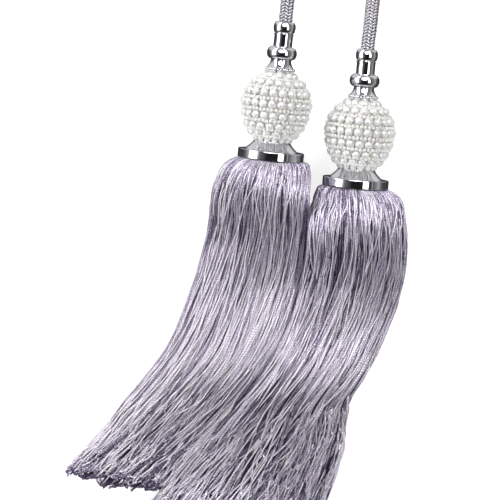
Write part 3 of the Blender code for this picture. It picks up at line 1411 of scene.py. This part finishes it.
@dataclass(frozen=True)
class Flare:
    """The spring of the yarn's last stretch, sideways and up."""

    stretch: tuple[float, float] = (0.84, 1.06)
    spread: tuple[float, float, float] = (2.4, 1.0, 1.0)  # mm along x and y, and up
    tame: float = 0.35  # share of the spread that every yarn has
    wild_from: float = 0.88  # a draw from 0 to 1 over this adds the whole spread

    def bend(self, draw: Random, paths: np.ndarray, lowest: float) -> np.ndarray:
        """Let yarns spring away from where they were laid.

        Args:
            draw: The seeded source of random numbers.
            paths: The yarns' centres, as yarn, ring, xyz.
            lowest: Height of the lowest centre, in millimetres.

        Returns:
            The moved paths.
        """
        count, rings, _ = paths.shape
        loose = ease(np.linspace(0.0, 1.0, rings)[None, :], *self.stretch)[..., None]
        wild = self.tame + 1.0 * (draw.uniform(0.0, 1.0, (count, 1, 1)) > self.wild_from)
        spread = draw.normal(0.0, 1.0, (count, 1, 3)) * wild * self.spread
        spread[..., 2] = np.abs(spread[..., 2])
        moved = paths + spread * loose
        moved[..., 2] = np.maximum(moved[..., 2], lowest)
        return moved


def yarn_shares(rings: int, blunt: tuple[float, float, float]) -> np.ndarray:
    """Even steps along a yarn, as one row. The last three are given, and make its blunt end."""
    return np.concatenate([np.linspace(0.0, blunt[0], rings - 2), blunt[1:]])[None, :]


@dataclass
class LockedYarn:
    """The body of the fringe: yarn in locks that drift, narrow and cross one another."""

    form: FringeForm
    tones: YarnTones
    flare: Flare
    count: int = 564
    rings: int = 74
    blunt: tuple[float, float, float] = (0.990, 0.997, 1.0)
    locks: int = 84
    lock_drift: Sway = Sway(0.04, (0.7, 1.4, 2.3))  # radians that a lock wanders
    lock_pull: tuple[float, float] = (0.25, 0.35)  # how far a lock draws together, and more at its end
    lock_squeeze: Sway = Sway(0.6, (1.2, 2.6, 4.4))  # share by which that changes along it
    tightest: float = 0.8  # share of the way to its lock's middle that a yarn may go
    slow_drift: Sway = Sway(0.045, (0.8, 1.7, 2.9), 0.7, 1.2)  # radians that a yarn wanders
    quick_drift: Sway = Sway(0.012, (6.0, 9.0, 13.0), 0.5, 2.0, Change(2.5, 0.78, 0.95))
    open_stretch: tuple[float, float] = (0.02, 0.35)  # where the bound neck opens out
    free_stretch: tuple[float, float] = (0.0, 0.3)  # where a yarn gets free of its neighbours
    jitter: float = 0.2  # unevenness of the yarns round the neck, in layers
    hidden_below: float = -0.35  # rise under which the yarn is laid less closely
    hidden_share: float = 0.3

    layers: int = 6
    layer_depth: float = 0.5
    loosening: Change = Change(0.6, 0.5, 0.9)  # growth of the layers' depth
    lock_depth: float = 0.7
    slack: float = 0.3  # mm of depth from yarn to yarn
    roll: Sway = Sway(0.45, (2.0, 4.0, 7.0))  # mm that a yarn rises and sinks
    curl: Sway = Sway(0.17, (11.0, 15.0, 19.0), late=Change(3.0, 0.55, 0.9))
    proud: float = 1.3  # mm that a yarn may rise out of the outer surface

    lock_slide: float = 0.08  # rows
    yarn_slide: float = 0.10
    slide_drift: Sway = Sway(0.10, (2.0, 4.0, 7.0))  # round the fringe, from lock to lock
    skew_middle: float = 0.2  # how far left of the middle the skew is nil
    skew_stretch: tuple[float, float] = (0.76, 0.92)

    def share(self) -> np.ndarray:
        """Even shares of the length, one for each ring."""
        return np.linspace(0.0, 1.0, self.rings)[None, :]

    def start_angles(self, draw: Random) -> np.ndarray:
        """Angles round the neck, the layers staggered, closer where the yarn is seen.

        Args:
            draw: The seeded source of random numbers.

        Returns:
            An angle for each yarn.
        """
        fine = np.linspace(0.0, tau, 721)
        weight = np.where(np.sin(fine) > self.hidden_below, 1.0, self.hidden_share)
        total = np.concatenate([[0.0], np.cumsum((weight[1:] + weight[:-1]) / 2)])
        shift = self.layers * draw.uniform(-self.jitter, self.jitter, self.count)
        wanted = (np.arange(self.count) + shift) / self.count % 1.0
        return np.interp(wanted * total[-1], total, fine)

    def angles(self, draw: Random) -> tuple[np.ndarray, np.ndarray]:
        """Lay the yarns round the fringe.

        Args:
            draw: The seeded source of random numbers.

        Returns:
            Angles, as yarn, ring, and the number of the lock that each yarn is in.
        """
        share = self.share()
        open_out = ease(share, *self.open_stretch)
        start = self.start_angles(draw)[:, None]
        locks = np.floor(start[:, 0] / tau * self.locks).astype(int) % self.locks
        center = tau * (locks[:, None] + 0.5) / self.locks
        lock_drift = self.lock_drift.curves(draw, self.locks, self.rings)[locks]
        uneven = 1 + self.lock_squeeze.curves(draw, self.locks, self.rings)
        usual, more = self.lock_pull
        squeeze = np.clip((usual + more * share) * uneven[locks], 0.0, self.tightest)
        slow = self.slow_drift.curves(draw, self.count, self.rings)
        quick = self.quick_drift.curves(draw, self.count, self.rings)
        angle = start + (center - start) * squeeze * open_out
        return angle + (lock_drift + slow) * open_out + quick * ease(share, *self.free_stretch), locks

    def depths(self, draw: Random, locks: np.ndarray) -> np.ndarray:
        """Lay the yarns over one another.

        Args:
            draw: The seeded source of random numbers.
            locks: The number of the lock that each yarn is in.

        Returns:
            Millimetres under the outer surface, as yarn, ring.
        """
        share = self.share()
        open_out = ease(share, *self.open_stretch)
        lock_depth = self.lock_depth * draw.uniform(0.0, 1.0, (self.locks, 1))[locks]
        layer = np.arange(self.count)[:, None] % self.layers
        spacing = self.layer_depth * (1.0 + self.loosening.at(share))
        loose = YARN_RADIUS + spacing * layer + draw.uniform(0.0, self.slack, (self.count, 1))
        roll = self.roll.curves(draw, self.count, self.rings)
        curl = self.curl.curves(draw, self.count, self.rings)
        depth = lock_depth * open_out + loose + (roll + curl) * ease(share, *self.free_stretch)
        return np.maximum(depth, YARN_RADIUS - self.proud * open_out)

    def slides(self, draw: Random, locks: np.ndarray, angle: np.ndarray) -> np.ndarray:
        """Let the waves of some yarns run ahead of the others'.

        Args:
            draw: The seeded source of random numbers.
            locks: The number of the lock that each yarn is in.
            angle: Round the section, as yarn, ring.

        Returns:
            Rows by which each ring's height runs ahead.
        """
        share = self.share()
        slide = draw.normal(0.0, self.lock_slide, (self.locks, 1))[locks]
        slide = slide + draw.normal(0.0, self.yarn_slide, (self.count, 1))
        slide = slide + self.slide_drift.curves(draw, 1, self.locks)[0][locks][:, None]
        skew = self.form.lie.skew * (np.cos(angle) + self.skew_middle) * ease(share, *self.skew_stretch)
        return slide * ease(share, *self.open_stretch) + skew

    def lay(self, draw: Random) -> tuple[Yarns, Yarns]:
        """Lay all the yarns.

        Args:
            draw: The seeded source of random numbers.

        Returns:
            The upper and the lower half of the yarns.
        """
        angle, locks = self.angles(draw)
        depth = self.depths(draw, locks)
        tones = self.tones.laid(draw, self.share(), angle, depth, locks)
        slide = self.slides(draw, locks, angle)
        at = self.form.ends(draw, angle[:, -1:]) * yarn_shares(self.rings, self.blunt)
        paths = self.flare.bend(draw, self.form.surface(at, angle, depth, slide), self.form.lowest)
        yarns = Yarns(paths, tones)
        upper, lower = np.split(np.argsort(-np.sin(angle[:, self.rings // 2]), kind="stable"), 2)
        return yarns.pick(upper), yarns.pick(lower)


@dataclass
class StrayYarn:
    """Loose yarns that come up from under the others, lie across them and sink again."""

    form: FringeForm
    tones: YarnTones
    flare: Flare
    rings: int
    blunt: tuple[float, float, float]
    count: int = 140
    rises: tuple[float, float] = (0.18, 0.98)  # shares of the length at which one comes up
    stays: tuple[float, float] = (0.06, 0.24)  # how long it stays up
    slope: float = 0.06  # share of the length over which it comes up
    cross_length: float = 0.24  # share of the length over which it crosses
    crossing: float = 0.55
    more_crossing: Change = Change(0.6, 0.5, 0.75)  # for one that comes up low down
    places: tuple[float, float] = (0.12, 0.88)  # where it lies over the crest, in half turns
    edges: tuple[float, float] = (0.04, 0.96)  # how far down the flanks it may go
    lean: float = 0.30  # radians that it crosses
    drift: Sway = Sway(0.05, (1.0, 2.0))
    drift_stretch: tuple[float, float] = (0.05, 0.3)
    deep: float = 2.2  # mm under the outer surface, before and after
    lift: float = 2.7  # mm that it comes up

    def lay(self, draw: Random) -> Yarns:
        """Lay the loose yarns.

        Args:
            draw: The seeded source of random numbers.

        Returns:
            The yarns.
        """
        size = (self.count, 1)
        share = np.linspace(0.0, 1.0, self.rings)[None, :]
        rise = draw.uniform(*self.rises, size)
        stay = draw.uniform(*self.stays, size)
        across = ease((share - rise) / self.cross_length, 0.0, 1.0)
        across = across * (self.crossing + self.more_crossing.at(rise))
        low, high = self.places
        angle = draw.uniform(low * pi, high * pi, size)
        lean = draw.normal(0.0, self.lean, size)
        # Half of them lean either way, and the other half to the left.
        angle = angle + np.where(draw.uniform(size=size) < 0.5, lean, np.abs(lean)) * across
        drift = self.drift.curves(draw, self.count, self.rings)
        angle = angle + drift * ease(share, *self.drift_stretch)
        low, high = self.edges
        angle = np.clip(angle, low * pi, high * pi)
        up = ease((share - rise) / self.slope, -1.0, 1.0)
        down = ease((share - rise - stay) / self.slope, -1.0, 1.0)
        depth = self.deep - self.lift * up * (1.0 - down)
        at = self.form.ends(draw, angle[:, -1:]) * yarn_shares(self.rings, self.blunt)
        paths = self.form.surface(at, angle, depth, np.zeros(size))
        tones = self.tones.strays(draw, share, depth)
        return Yarns(self.flare.bend(draw, paths, self.form.lowest), tones)


@dataclass
class TangledEnds:
    """Short curled yarn ends on top of the last stretch, up and across."""

    form: FringeForm
    tones: YarnTones
    count: int = 200
    rings: int = 16
    blunt: tuple[float, float, float] = (0.96, 0.985, 1.0)
    last_start: float = 9.0  # row number
    starts: float = 2.3  # rows before it over which they begin
    lengths: tuple[float, float] = (0.5, 1.2)  # rows
    places: tuple[float, float] = (0.03, 0.97)  # where they lie over the crest, in half turns
    short_of: float = 0.15  # rows that they stay short of the cut ends at first
    creep: float = 0.08  # rows that they gain on them along their length
    lean: float = 0.11  # radians
    hook: float = 0.10  # radians that the very end turns aside
    arch_share: float = 1.15  # of the length that the arch's half wave takes
    arches: tuple[float, float] = (0.3, 1.6)  # mm
    deep: float = 1.2  # mm under the outer surface where they begin
    emerge: Change = Change(1.2, 0.0, 0.3)

    def lay(self, draw: Random) -> Yarns:
        """Lay the tangled ends.

        Args:
            draw: The seeded source of random numbers.

        Returns:
            The yarns.
        """
        size = (self.count, 1)
        share = yarn_shares(self.rings, self.blunt)
        begin = self.last_start - self.starts * draw.uniform(0.0, 1.0, size)
        length = draw.uniform(*self.lengths, size)
        low, high = self.places
        angle = draw.uniform(low * pi, high * pi, size)
        latest = self.form.ends(draw, angle) - self.short_of + self.creep * share
        at = np.minimum(begin + length * share, latest)
        angle = angle + draw.normal(0.0, self.lean, size) * share
        angle = angle + draw.normal(0.0, self.hook, size) * share**3
        arch = np.sin(pi * np.minimum(1.0, self.arch_share * share)) * draw.uniform(*self.arches, size)
        depth = self.deep - self.emerge.at(share) - arch
        paths = self.form.surface(at, np.clip(angle, 0.0, pi), depth, np.zeros(size))
        return Yarns(paths, self.tones.tufts(draw, depth))


@dataclass
class Fringe:
    """A fringe of twisted yarn over its packed inside."""

    axis: Axis
    lie: FringeLie
    seed: int
    sides: int = 3
    thickening: float = 1.2  # of the yarn's radius at its end, where the twist opens
    cut_end: tuple[float, ...] = (1.0, 1.15, 1.45, 0.8)  # the frayed blob, over the last rings
    lower_fray: float = 1.5  # how much more the lower yarns fray
    tuft_swell: float = 1.3  # how much thicker the tangled ends are
    twist_range: float = 1000.0  # mm over which the starts of the twist are spread
    inner_depth: float = 3.4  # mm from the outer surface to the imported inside
    inner_end: float = 9.0  # row number
    inner_sides: int = 48
    inner_rings: int = 40

    def widths(self, yarns: Yarns, fray: float, swell: float) -> np.ndarray:
        """Even yarn with a rounded, frayed blob at its cut end.

        Args:
            yarns: The yarns.
            fray: How much wider than usual the blob is.
            swell: How much thicker than usual the yarn is.

        Returns:
            Radius of each ring in millimetres, as yarn, ring.
        """
        count, rings = yarns.tones.shape
        widths = np.tile(YARN_RADIUS * np.linspace(1.0, self.thickening, rings), (count, 1))
        widths[:, -len(self.cut_end) :] *= np.array(self.cut_end) * (1.0, fray, fray, fray)
        return widths * swell

    def inner_shade_skin(self, form: FringeForm, inner: Material) -> None:
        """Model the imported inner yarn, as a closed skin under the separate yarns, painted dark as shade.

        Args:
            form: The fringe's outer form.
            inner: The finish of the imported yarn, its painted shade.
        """
        at = np.linspace(0.0, self.inner_end, self.inner_rings)[:, None]
        angle = (tau * np.arange(self.inner_sides) / self.inner_sides)[None, :]
        at, angle = np.broadcast_arrays(at, angle)
        depth = np.full(at.shape, self.inner_depth)
        points = form.surface(at, angle, depth, np.zeros(at.shape))
        piece = tube_piece(self.axis.name("fringe_inner_shade"), points[None])
        face_outwards(piece)
        piece.data.materials.append(inner)
        hand_over(piece, Slot.YARN)

    def build(self, finishes: Finishes) -> None:
        """Model the yarn, as three pieces, and its inside, painted dark as shade.

        Args:
            finishes: The object's materials.
        """
        draw = np.random.default_rng(self.seed)
        form = FringeForm(self.axis, self.lie, self.seed)
        tones = YarnTones(self.lie)
        body = LockedYarn(form, tones, Flare())
        upper, lower = body.lay(draw)
        strays = StrayYarn(form, tones, body.flare, body.rings, body.blunt).lay(draw)
        tangle = TangledEnds(form, tones).lay(draw)
        node = self.axis.name("fringe")
        bundles = (
            ("upper", upper.with_more(strays), 1.0, 1.0, [node]),
            ("lower", lower, self.lower_fray, 1.0, []),
            ("tufts", tangle, 1.0, self.tuft_swell, []),
        )
        for part, yarns, fray, swell, nodes in bundles:
            widths = self.widths(yarns, fray, swell)
            starts = draw.uniform(0.0, self.twist_range, len(yarns.paths))
            piece = round_yarns(f"{node}_{part}", yarns.paths, widths, self.sides, yarns.tones, starts)
            piece.data.materials.append(finishes.yarn)
            hand_over(piece, Slot.YARN, *nodes)
        self.inner_shade_skin(form, finishes.inner)


# ---------------------------------------------------------------- the rope


@dataclass
class BraidedRope:
    """Twenty-carrier braid: ten strands each way, which lie in ten ridges along the rope."""

    left: Axis
    right: Axis
    route: tuple[tuple[float, float, float], ...]
    diameter: float = 9.0
    mouth: float = 54.0  # station at which the rope leaves a collar
    tuck: float = 1.9  # mm of rope inside each collar
    lead: float = 5.0  # mm that it runs straight on from there
    knot_steps: int = 40  # points between two of the route's, to measure along
    step: float = 0.7  # mm from ring to ring
    carriers: int = 10  # each way
    pitch: float = 19.5  # mm along the rope for one turn of a strand
    strand_width: float = 1.24
    strand_thickness: float = 0.9
    strand_sides: int = 5
    strand_depth: float = 0.6  # mm from the rope's outside to a strand's middle
    mean_turn: float = 0.8  # share of the diameter that the strands turn at
    weave_depth: float = 0.36
    ridge: float = 0.22
    lane_turn: float = pi / 2  # where one ridge's middle lies, from the side over the top
    tone: float = 0.84
    weave_light_and_shade: float = 0.42  # painted light on top of the weave, and painted shade under it
    ridge_light_and_shade: float = 0.30  # painted light along a ridge, and painted shade beside it
    core_radius: float = 3.2
    core_step: float = 4.0
    core_sides: int = 12
    core_tone: float = 0.3

    def centers(self) -> np.ndarray:
        """Lay the rope's own line from collar to collar.

        Returns:
            Evenly spaced points in millimetres.
        """
        inside, lead = self.mouth - self.tuck, self.mouth + self.lead
        starts = [self.left.point(inside), self.left.point(lead)]
        ends = [self.right.point(lead), self.right.point(inside)]
        knots = np.array([tuple(p) for p in (*starts, *map(Vector, self.route), *ends)])
        fine = smooth_table(knots, np.linspace(0, len(knots) - 1, self.knot_steps * len(knots)))
        run = np.concatenate([[0.0], np.cumsum(np.linalg.norm(np.diff(fine, axis=0), axis=1))])
        wanted = np.linspace(0.0, run[-1], int(run[-1] / self.step))
        return np.stack([np.interp(wanted, run, fine[:, k]) for k in range(3)], axis=-1)

    def frames(self, centers: np.ndarray) -> tuple[np.ndarray, np.ndarray]:
        """Find the rope's own sides, carried along it without twist.

        Args:
            centers: Points of the rope's line.

        Returns:
            Two unit vectors square to the rope at each point.
        """
        flow = unit(np.gradient(centers, axis=0))
        side = np.cross(flow[0], (0.0, 0.0, 1.0))
        sides = []
        for tangent in flow:
            side = unit(side - tangent * (side @ tangent))
            sides.append(side)
        return np.array(sides), np.cross(flow, sides)

    def strands(self, centers: np.ndarray) -> np.ndarray:
        """Weave all carriers, as flat strands that go in and out.

        Args:
            centers: Points of the rope's line.

        Returns:
            The strands' surface in millimetres, as strand, ring, side, xyz.
        """
        first, second = self.frames(centers)
        run = np.arange(len(centers)) * self.step
        middle = self.diameter / 2 - self.strand_depth
        lanes = self.carriers / 2
        corners = tau * np.arange(self.strand_sides) / self.strand_sides + pi / 2
        over_width = (np.cos(corners) * self.strand_width / 2)[None, :, None]
        over_thickness = (np.sin(corners) * self.strand_thickness / 2)[None, :, None]
        strands = []
        for way in (1, -1):
            for carrier in range(self.carriers):
                turn = tau * (way * run / self.pitch + carrier / self.carriers)
                weave = way * self.weave_depth * np.cos(lanes * (turn - self.lane_turn))
                reach = middle + weave + self.ridge * np.cos(self.carriers * (turn - self.lane_turn))
                out = first * np.cos(turn)[:, None] + second * np.sin(turn)[:, None]
                line = centers + out * reach[:, None]
                flow = unit(np.gradient(line, axis=0))
                wide = unit(np.cross(flow, out))
                thick = np.cross(wide, flow)
                strands.append(line[:, None] + wide[:, None] * over_width + thick[:, None] * over_thickness)
        return np.array(strands)

    def tones(self, rings: int) -> np.ndarray:
        """Painted light where a strand lies on top, painted shade where it dives under two others.

        Args:
            rings: Rings on each strand.

        Returns:
            The tones, as strand, ring.
        """
        run = np.arange(rings) * self.step
        carrier = np.arange(self.carriers)[:, None] / self.carriers
        turns = [tau * (way * run / self.pitch + carrier) - self.lane_turn for way in (1, -1)]
        over = [way * np.cos(self.carriers / 2 * turn) for way, turn in zip((1, -1), turns)]
        ridge = [np.cos(self.carriers * turn) for turn in turns]
        return self.tone + self.weave_light_and_shade * np.concatenate(over) + self.ridge_light_and_shade * np.concatenate(ridge)

    def braid(self, centers: np.ndarray) -> Piece:
        """Model the braided strands.

        Args:
            centers: Points of the rope's line.

        Returns:
            The strands as one piece.
        """
        points = self.strands(centers)
        stretch = sqrt(1 + (pi * self.diameter * self.mean_turn / self.pitch) ** 2)
        along = np.arange(len(centers)) * self.step * stretch
        return yarn_piece("rope_braid", points, np.tile(along, (len(points), 1)), self.tones(len(centers)))

    def core(self, centers: np.ndarray) -> Piece:
        """Model the plain core under the braid.

        Args:
            centers: Points of the rope's line.

        Returns:
            The core.
        """
        rings = int(len(centers) * self.step / self.core_step)
        chosen = np.linspace(0, len(centers) - 1, rings).astype(int)
        widths = np.full((1, rings), self.core_radius)
        tones = np.full((1, rings), self.core_tone)
        return round_yarns("rope_core", centers[chosen][None], widths, self.core_sides, tones, np.zeros(1))

    def build(self, finishes: Finishes) -> None:
        """Args:
            finishes: The object's materials.
        """
        centers = self.centers()
        braid, core = self.braid(centers), self.core(centers)
        braid.data.materials.append(finishes.braid)
        # The core takes the inner yarn's painted shade, which shows between the strands.
        core.data.materials.append(finishes.inner)
        rope = join_pieces([braid, core], "rope_braid")
        tuple(self.left.point(self.mouth) * MM)
        hand_over(rope, Slot.BRAID, "rope")


# ---------------------------------------------------------------- the studio


@dataclass
class Studio:
    """Floor, soft light and a camera over the object at the photograph's angle."""

    aim: tuple[float, float, float] = (7.04, 13.44, 20.0)
    span: float = 320.0  # mm across the picture at the aim
    distance: float = 2400.0
    tilt: float = 5.0  # degrees towards the finials
    sensor: float = 36.0
    sight: float = 50.0  # m, the farthest that the camera sees
    floor_size: float = 16.0  # m
    floor_place: tuple[float, float, float] = (0.0, 0.1, -0.0002)  # m
    window_light: float = 7.0
    fill_light: float = 1.25
    sheen_light: float = 3.2
    # Brightness by height, from straight down, 0, over the horizon, 0.5, to straight up, 1.
    shell: Levels = (
        (0.0, 0.05),
        (0.35, 0.10),
        (0.46, 0.34),
        (0.52, 0.62),
        (0.62, 0.36),
        (0.74, 0.12),
        (0.88, 0.02),
    )
    # Brightness of the windows by degrees from straight up, positive towards +X.
    windows: Levels = (
        (-84, 0),
        (-78, 0.7),
        (-55, 0.7),
        (-47, 0.1),
        (-40, 0.03),
        (-14, 0),
        (24, 0),
        (28, 0.8),
        (42, 0.8),
        (46, 0),
        (57, 0),
        (60, 0.1),
        (62, 0),
    )
    # Brightness of the windows by the direction's share along Y, from -Y, 0, to +Y, 1. The
    # two dips are glazing bars.
    window_length: Levels = (
        (0.29, 0),
        (0.38, 1.0),
        (0.6, 1.0),
        (0.62, 0.2),
        (0.64, 1.0),
        (0.8, 1.0),
        (0.82, 0.2),
        (0.84, 1.0),
        (0.92, 1.0),
        (0.98, 0),
    )
    # Brightness of the board beyond the finials, by height and by share along Y.
    board_height: Levels = ((0.0, 0.9), (0.44, 0.9), (0.5, 0))
    board_length: Levels = ((0.62, 0), (0.74, 1))

    def camera(self) -> None:
        """Set a long lens above the object, with the finials at the top of the picture."""
        data = bpy.data.cameras.new("camera")
        data.sensor_width = self.sensor
        data.lens = self.sensor * self.distance / self.span
        data.clip_end = self.sight
        view = bpy.data.objects.new("camera", data)
        bpy.context.scene.collection.objects.link(view)
        back = Vector((0.0, sin(radians(self.tilt)), cos(radians(self.tilt))))
        view.location = (Vector(self.aim) + back * self.distance) * MM
        view.rotation_euler = (-radians(self.tilt), 0.0, 0.0)
        bpy.context.scene.camera = view

    def floor(self) -> None:
        """Lay a wide white board under the object. Metal mirrors the room instead of it."""
        deselect_all()
        bpy.ops.mesh.primitive_plane_add(size=self.floor_size, location=self.floor_place)
        board = bpy.context.object
        board.name = "studio_floor"
        settle(board)
        board.visible_glossy = False
        board.data.materials.append(StudioBoard().material())

    def room(self) -> None:
        """Make the room a white shell with a dark ceiling and two long soft windows of light.

        Both windows run along Y over the object, mostly on the finials' side: a wide low one
        on the left, which fades towards the ceiling, and a narrow high one on the right.
        """
        world = bpy.data.worlds.new("studio_room")
        bpy.context.scene.world = world
        world.use_nodes = True
        tree = world.node_tree
        sky = add_node(tree, "TexCoord", {}).outputs["Generated"]
        split = add_node(tree, "SeparateXYZ", {"Vector": sky}).outputs
        turn = add_node(tree, "Math", {0: split["X"], 1: split["Z"]}, operation="ARCTAN2").outputs[0]
        level = add_node(tree, "MapRange", {"Value": split["Z"], "From Min": -1.0}).outputs["Result"]
        length = add_node(tree, "MapRange", {"Value": split["Y"], "From Min": -1.0}).outputs["Result"]
        whole_turn = {"Value": turn, "From Min": -pi, "From Max": pi}
        across = add_node(tree, "MapRange", whole_turn).outputs["Result"]

        by_turn = tuple((0.5 + angle / 360, light) for angle, light in self.windows)
        ramps = (
            (level, self.shell),
            (level, self.board_height),
            (length, self.board_length),
            (across, by_turn),
            (length, self.window_length),
        )
        shell, low, beyond, windows, reach = (
            add_node(tree, "ValToRGB", {"Fac": factor}, greys(levels)).outputs["Color"]
            for factor, levels in ramps
        )
        board = {0: low, 1: beyond, 2: shell}
        walls = add_node(tree, "Math", board, operation="MULTIPLY_ADD").outputs[0]
        glow = add_node(tree, "Math", {0: windows, 1: reach}, operation="MULTIPLY").outputs[0]
        lit = {0: glow, 1: self.window_light, 2: walls}
        light = add_node(tree, "Math", lit, operation="MULTIPLY_ADD").outputs[0]
        connect(tree, tree.nodes["Background"], {"Color": light})
        bpy.context.scene.view_settings.view_transform = "Standard"

    def lamp(self, name: str, toward: tuple[float, float, float], light: float, size: float) -> Piece:
        """Add a wide soft lamp far away.

        Args:
            name: What the lamp is called.
            toward: The direction in which the lamp stands.
            light: Its strength.
            size: How wide it looks from the object, in degrees.

        Returns:
            The lamp.
        """
        data = bpy.data.lights.new(name, "SUN")
        data.energy = light
        data.angle = radians(size)
        lamp = bpy.data.objects.new(name, data)
        bpy.context.scene.collection.objects.link(lamp)
        lamp.rotation_euler = Vector(toward).to_track_quat("Z", "Y").to_euler()
        return lamp

    def lamps(self) -> None:
        """Add a fill from the fringes' side and a sheen light from over the finials."""
        fill = self.lamp("fill_lamp", (0.1, -0.5, 0.85), self.fill_light, 30.0)
        fill.visible_glossy = False
        sheen = self.lamp("sheen_lamp", (0.0, 0.53, 0.85), self.sheen_light, 44.0)
        sheen.visible_diffuse = False

    def build(self) -> None:
        """Set up the whole studio, the camera first."""
        self.camera()
        self.floor()
        self.room()
        self.lamps()


# ---------------------------------------------------------------- the object

AXES = {
    Side.LEFT: Axis(Side.LEFT, 23.7, 105.9, 6.2),
    Side.RIGHT: Axis(Side.RIGHT, 77.1, 88.3, 5.0),
}

LIES = {
    Side.LEFT: FringeLie(
        rows=(
            (-7.7, 70.6, 45.0, 68.6, 47.0, 23.0, 0.97),
            (-13.4, 64.0, 46.6, 62.0, 50.0, 22.5, 1.04),
            (-18.2, 49.9, 43.6, 47.4, 51.0, 21.5, 1.20),
            (-21.1, 25.0, 42.4, 22.4, 44.5, 18.5, 1.35),
            (-30.1, -8.3, 36.8, -12.2, 37.5, 15.5, 1.40),
            (-47.0, -49.0, 21.4, -52.4, 34.0, 14.0, 1.40),
            (-72.3, -82.6, -2.4, -86.0, 27.0, 11.0, 1.40),
            (-90.2, -106.2, -26.2, -113.8, 20.0, 8.0, 1.40),
            (-104.6, -122.8, -49.0, -138.6, 15.0, 6.0, 1.40),
        ),
        inner_crimp=(
            *(0, -0.6, -1.2, -1.0, -0.8, 0.0, -1.2, -3.0, -5.2, -6.6),
            *(-6.6, -4.8, -1.6, 1.2, 0.5, -1.2, -1.2, -0.2, 0.8, 1.0),
        ),
        outer_crimp=(
            *(0, 0, 0, 0, -0.5, -1.5, -3.5, -5.8, -7.2, -6.6),
            *(-5.0, -4.0, -2.8, -0.6, 1.0, 1.8, 2.2, 2.2, 2.2, 2.2),
        ),
        skew=0.0,
        # dull: painted shade on the lower yarn.
        dull=(0.05, 0.5, 0.65),
        painted_crest_light=0.32,
        trim=(0.1, 0.45, 0.4),
    ),
    Side.RIGHT: FringeLie(
        rows=(
            (49.6, 53.6, 100.6, 49.6, 47.0, 23.0, 0.97),
            (47.0, 46.4, 105.3, 43.2, 50.0, 22.5, 1.04),
            (45.6, 33.0, 107.8, 27.5, 51.0, 21.5, 1.20),
            (43.6, 6.0, 107.8, 3.2, 45.5, 18.5, 1.35),
            (36.6, -24.0, 101.4, -25.6, 39.0, 16.0, 1.40),
            (20.8, -57.6, 87.7, -58.2, 35.0, 14.0, 1.40),
            (-2.4, -88.6, 70.8, -88.6, 28.0, 11.5, 1.40),
            (-26.8, -117.6, 67.8, -115.9, 21.0, 8.5, 1.40),
            (-51.0, -147.2, 54.5, -156.4, 15.5, 6.5, 1.40),
        ),
        inner_crimp=(
            *(0, -0.5, -1.0, -0.8, -0.3, 0, 0, -1.2, -3.5, -4.7),
            *(-3.8, -2.4, 0.8, 3.0, 1.5, -0.3, -2.5, -3.5, -2.0, -1.0),
        ),
        outer_crimp=(
            *(0, 0, 0, 0, 0, 0, 0, -1.2, -3.4, -6.0),
            *(-6.1, -4.8, -0.8, 3.5, 3.4, 2.0, 0.0, -2.2, -3.0, -2.5),
        ),
        skew=-0.4,
        # dull: painted shade on the lower yarn.
        dull=(0.45, 0.5, -0.1),
        painted_crest_light=0.15,
        trim=(0.35, 0.5, 0.4),
    ),
}

# The rope's route between the finials: x, y and the height of its centre.
ROPE_LAID = 4.6
ROPE_ROUTE = (
    (31.0, 173.0, 22.4),
    (32.4, 186.0, 19.6),
    (33.6, 200.0, 14.6),
    (34.4, 214.0, 9.2),
    (34.6, 229.0, 5.8),
    (34.2, 246.0, ROPE_LAID),
    (33.0, 268.0, ROPE_LAID),
    (31.4, 292.0, ROPE_LAID),
    (30.6, 316.0, ROPE_LAID),
    (32.4, 340.0, ROPE_LAID),
    (38.6, 362.0, ROPE_LAID),
    (50.6, 379.5, ROPE_LAID),
    (68.0, 388.5, ROPE_LAID),
    (87.0, 387.0, ROPE_LAID),
    (103.0, 376.0, ROPE_LAID),
    (112.6, 358.0, ROPE_LAID),
    (116.0, 336.0, ROPE_LAID),
    (114.6, 311.0, ROPE_LAID),
    (110.2, 286.0, ROPE_LAID),
    (104.4, 262.0, ROPE_LAID),
    (98.4, 238.0, ROPE_LAID),
    (93.4, 217.0, 5.6),
    (89.8, 199.0, 9.2),
    (87.0, 183.0, 14.6),
    (84.8, 168.0, 19.8),
    (83.4, 155.0, 22.5),
)


@dataclass
class Tassel:
    """One tassel, from its finial to its fringe."""

    side: Side
    seed: int

    def build(self, finishes: Finishes) -> None:
        """Build the tassel's pieces in the order in which they are threaded.

        Args:
            finishes: The object's materials.
        """
        axis = AXES[self.side]
        Finial(axis).build(finishes.chrome)
        PearlBall(axis, start=0.17 * self.seed).build(finishes)
        Cup(axis).build(finishes.chrome)
        Fringe(axis, LIES[self.side], self.seed).build(finishes)


def main() -> None:
    """Build the studio, the rope and the two tassels."""
    logging.basicConfig(level=logging.INFO, format="%(message)s")
    Studio().build()
    finishes = Finishes(
        chrome=ChromePlate().material(),
        pearl=PearlCoat().material(),
        seed=SeedGlass().material(),
        form=BeadForm().material(),
        yarn=RayonYarn().material(),
        inner=InnerYarnShade().material(),
        braid=RayonYarn("braided_rayon", "#4a4651", "#a7a2ac", "#e2dfe4").material(),
    )
    BraidedRope(AXES[Side.LEFT], AXES[Side.RIGHT], ROPE_ROUTE).build(finishes)
    for seed, side in enumerate(Side, start=3):
        Tassel(side, seed).build(finishes)


if __name__ == "__main__":
    main()
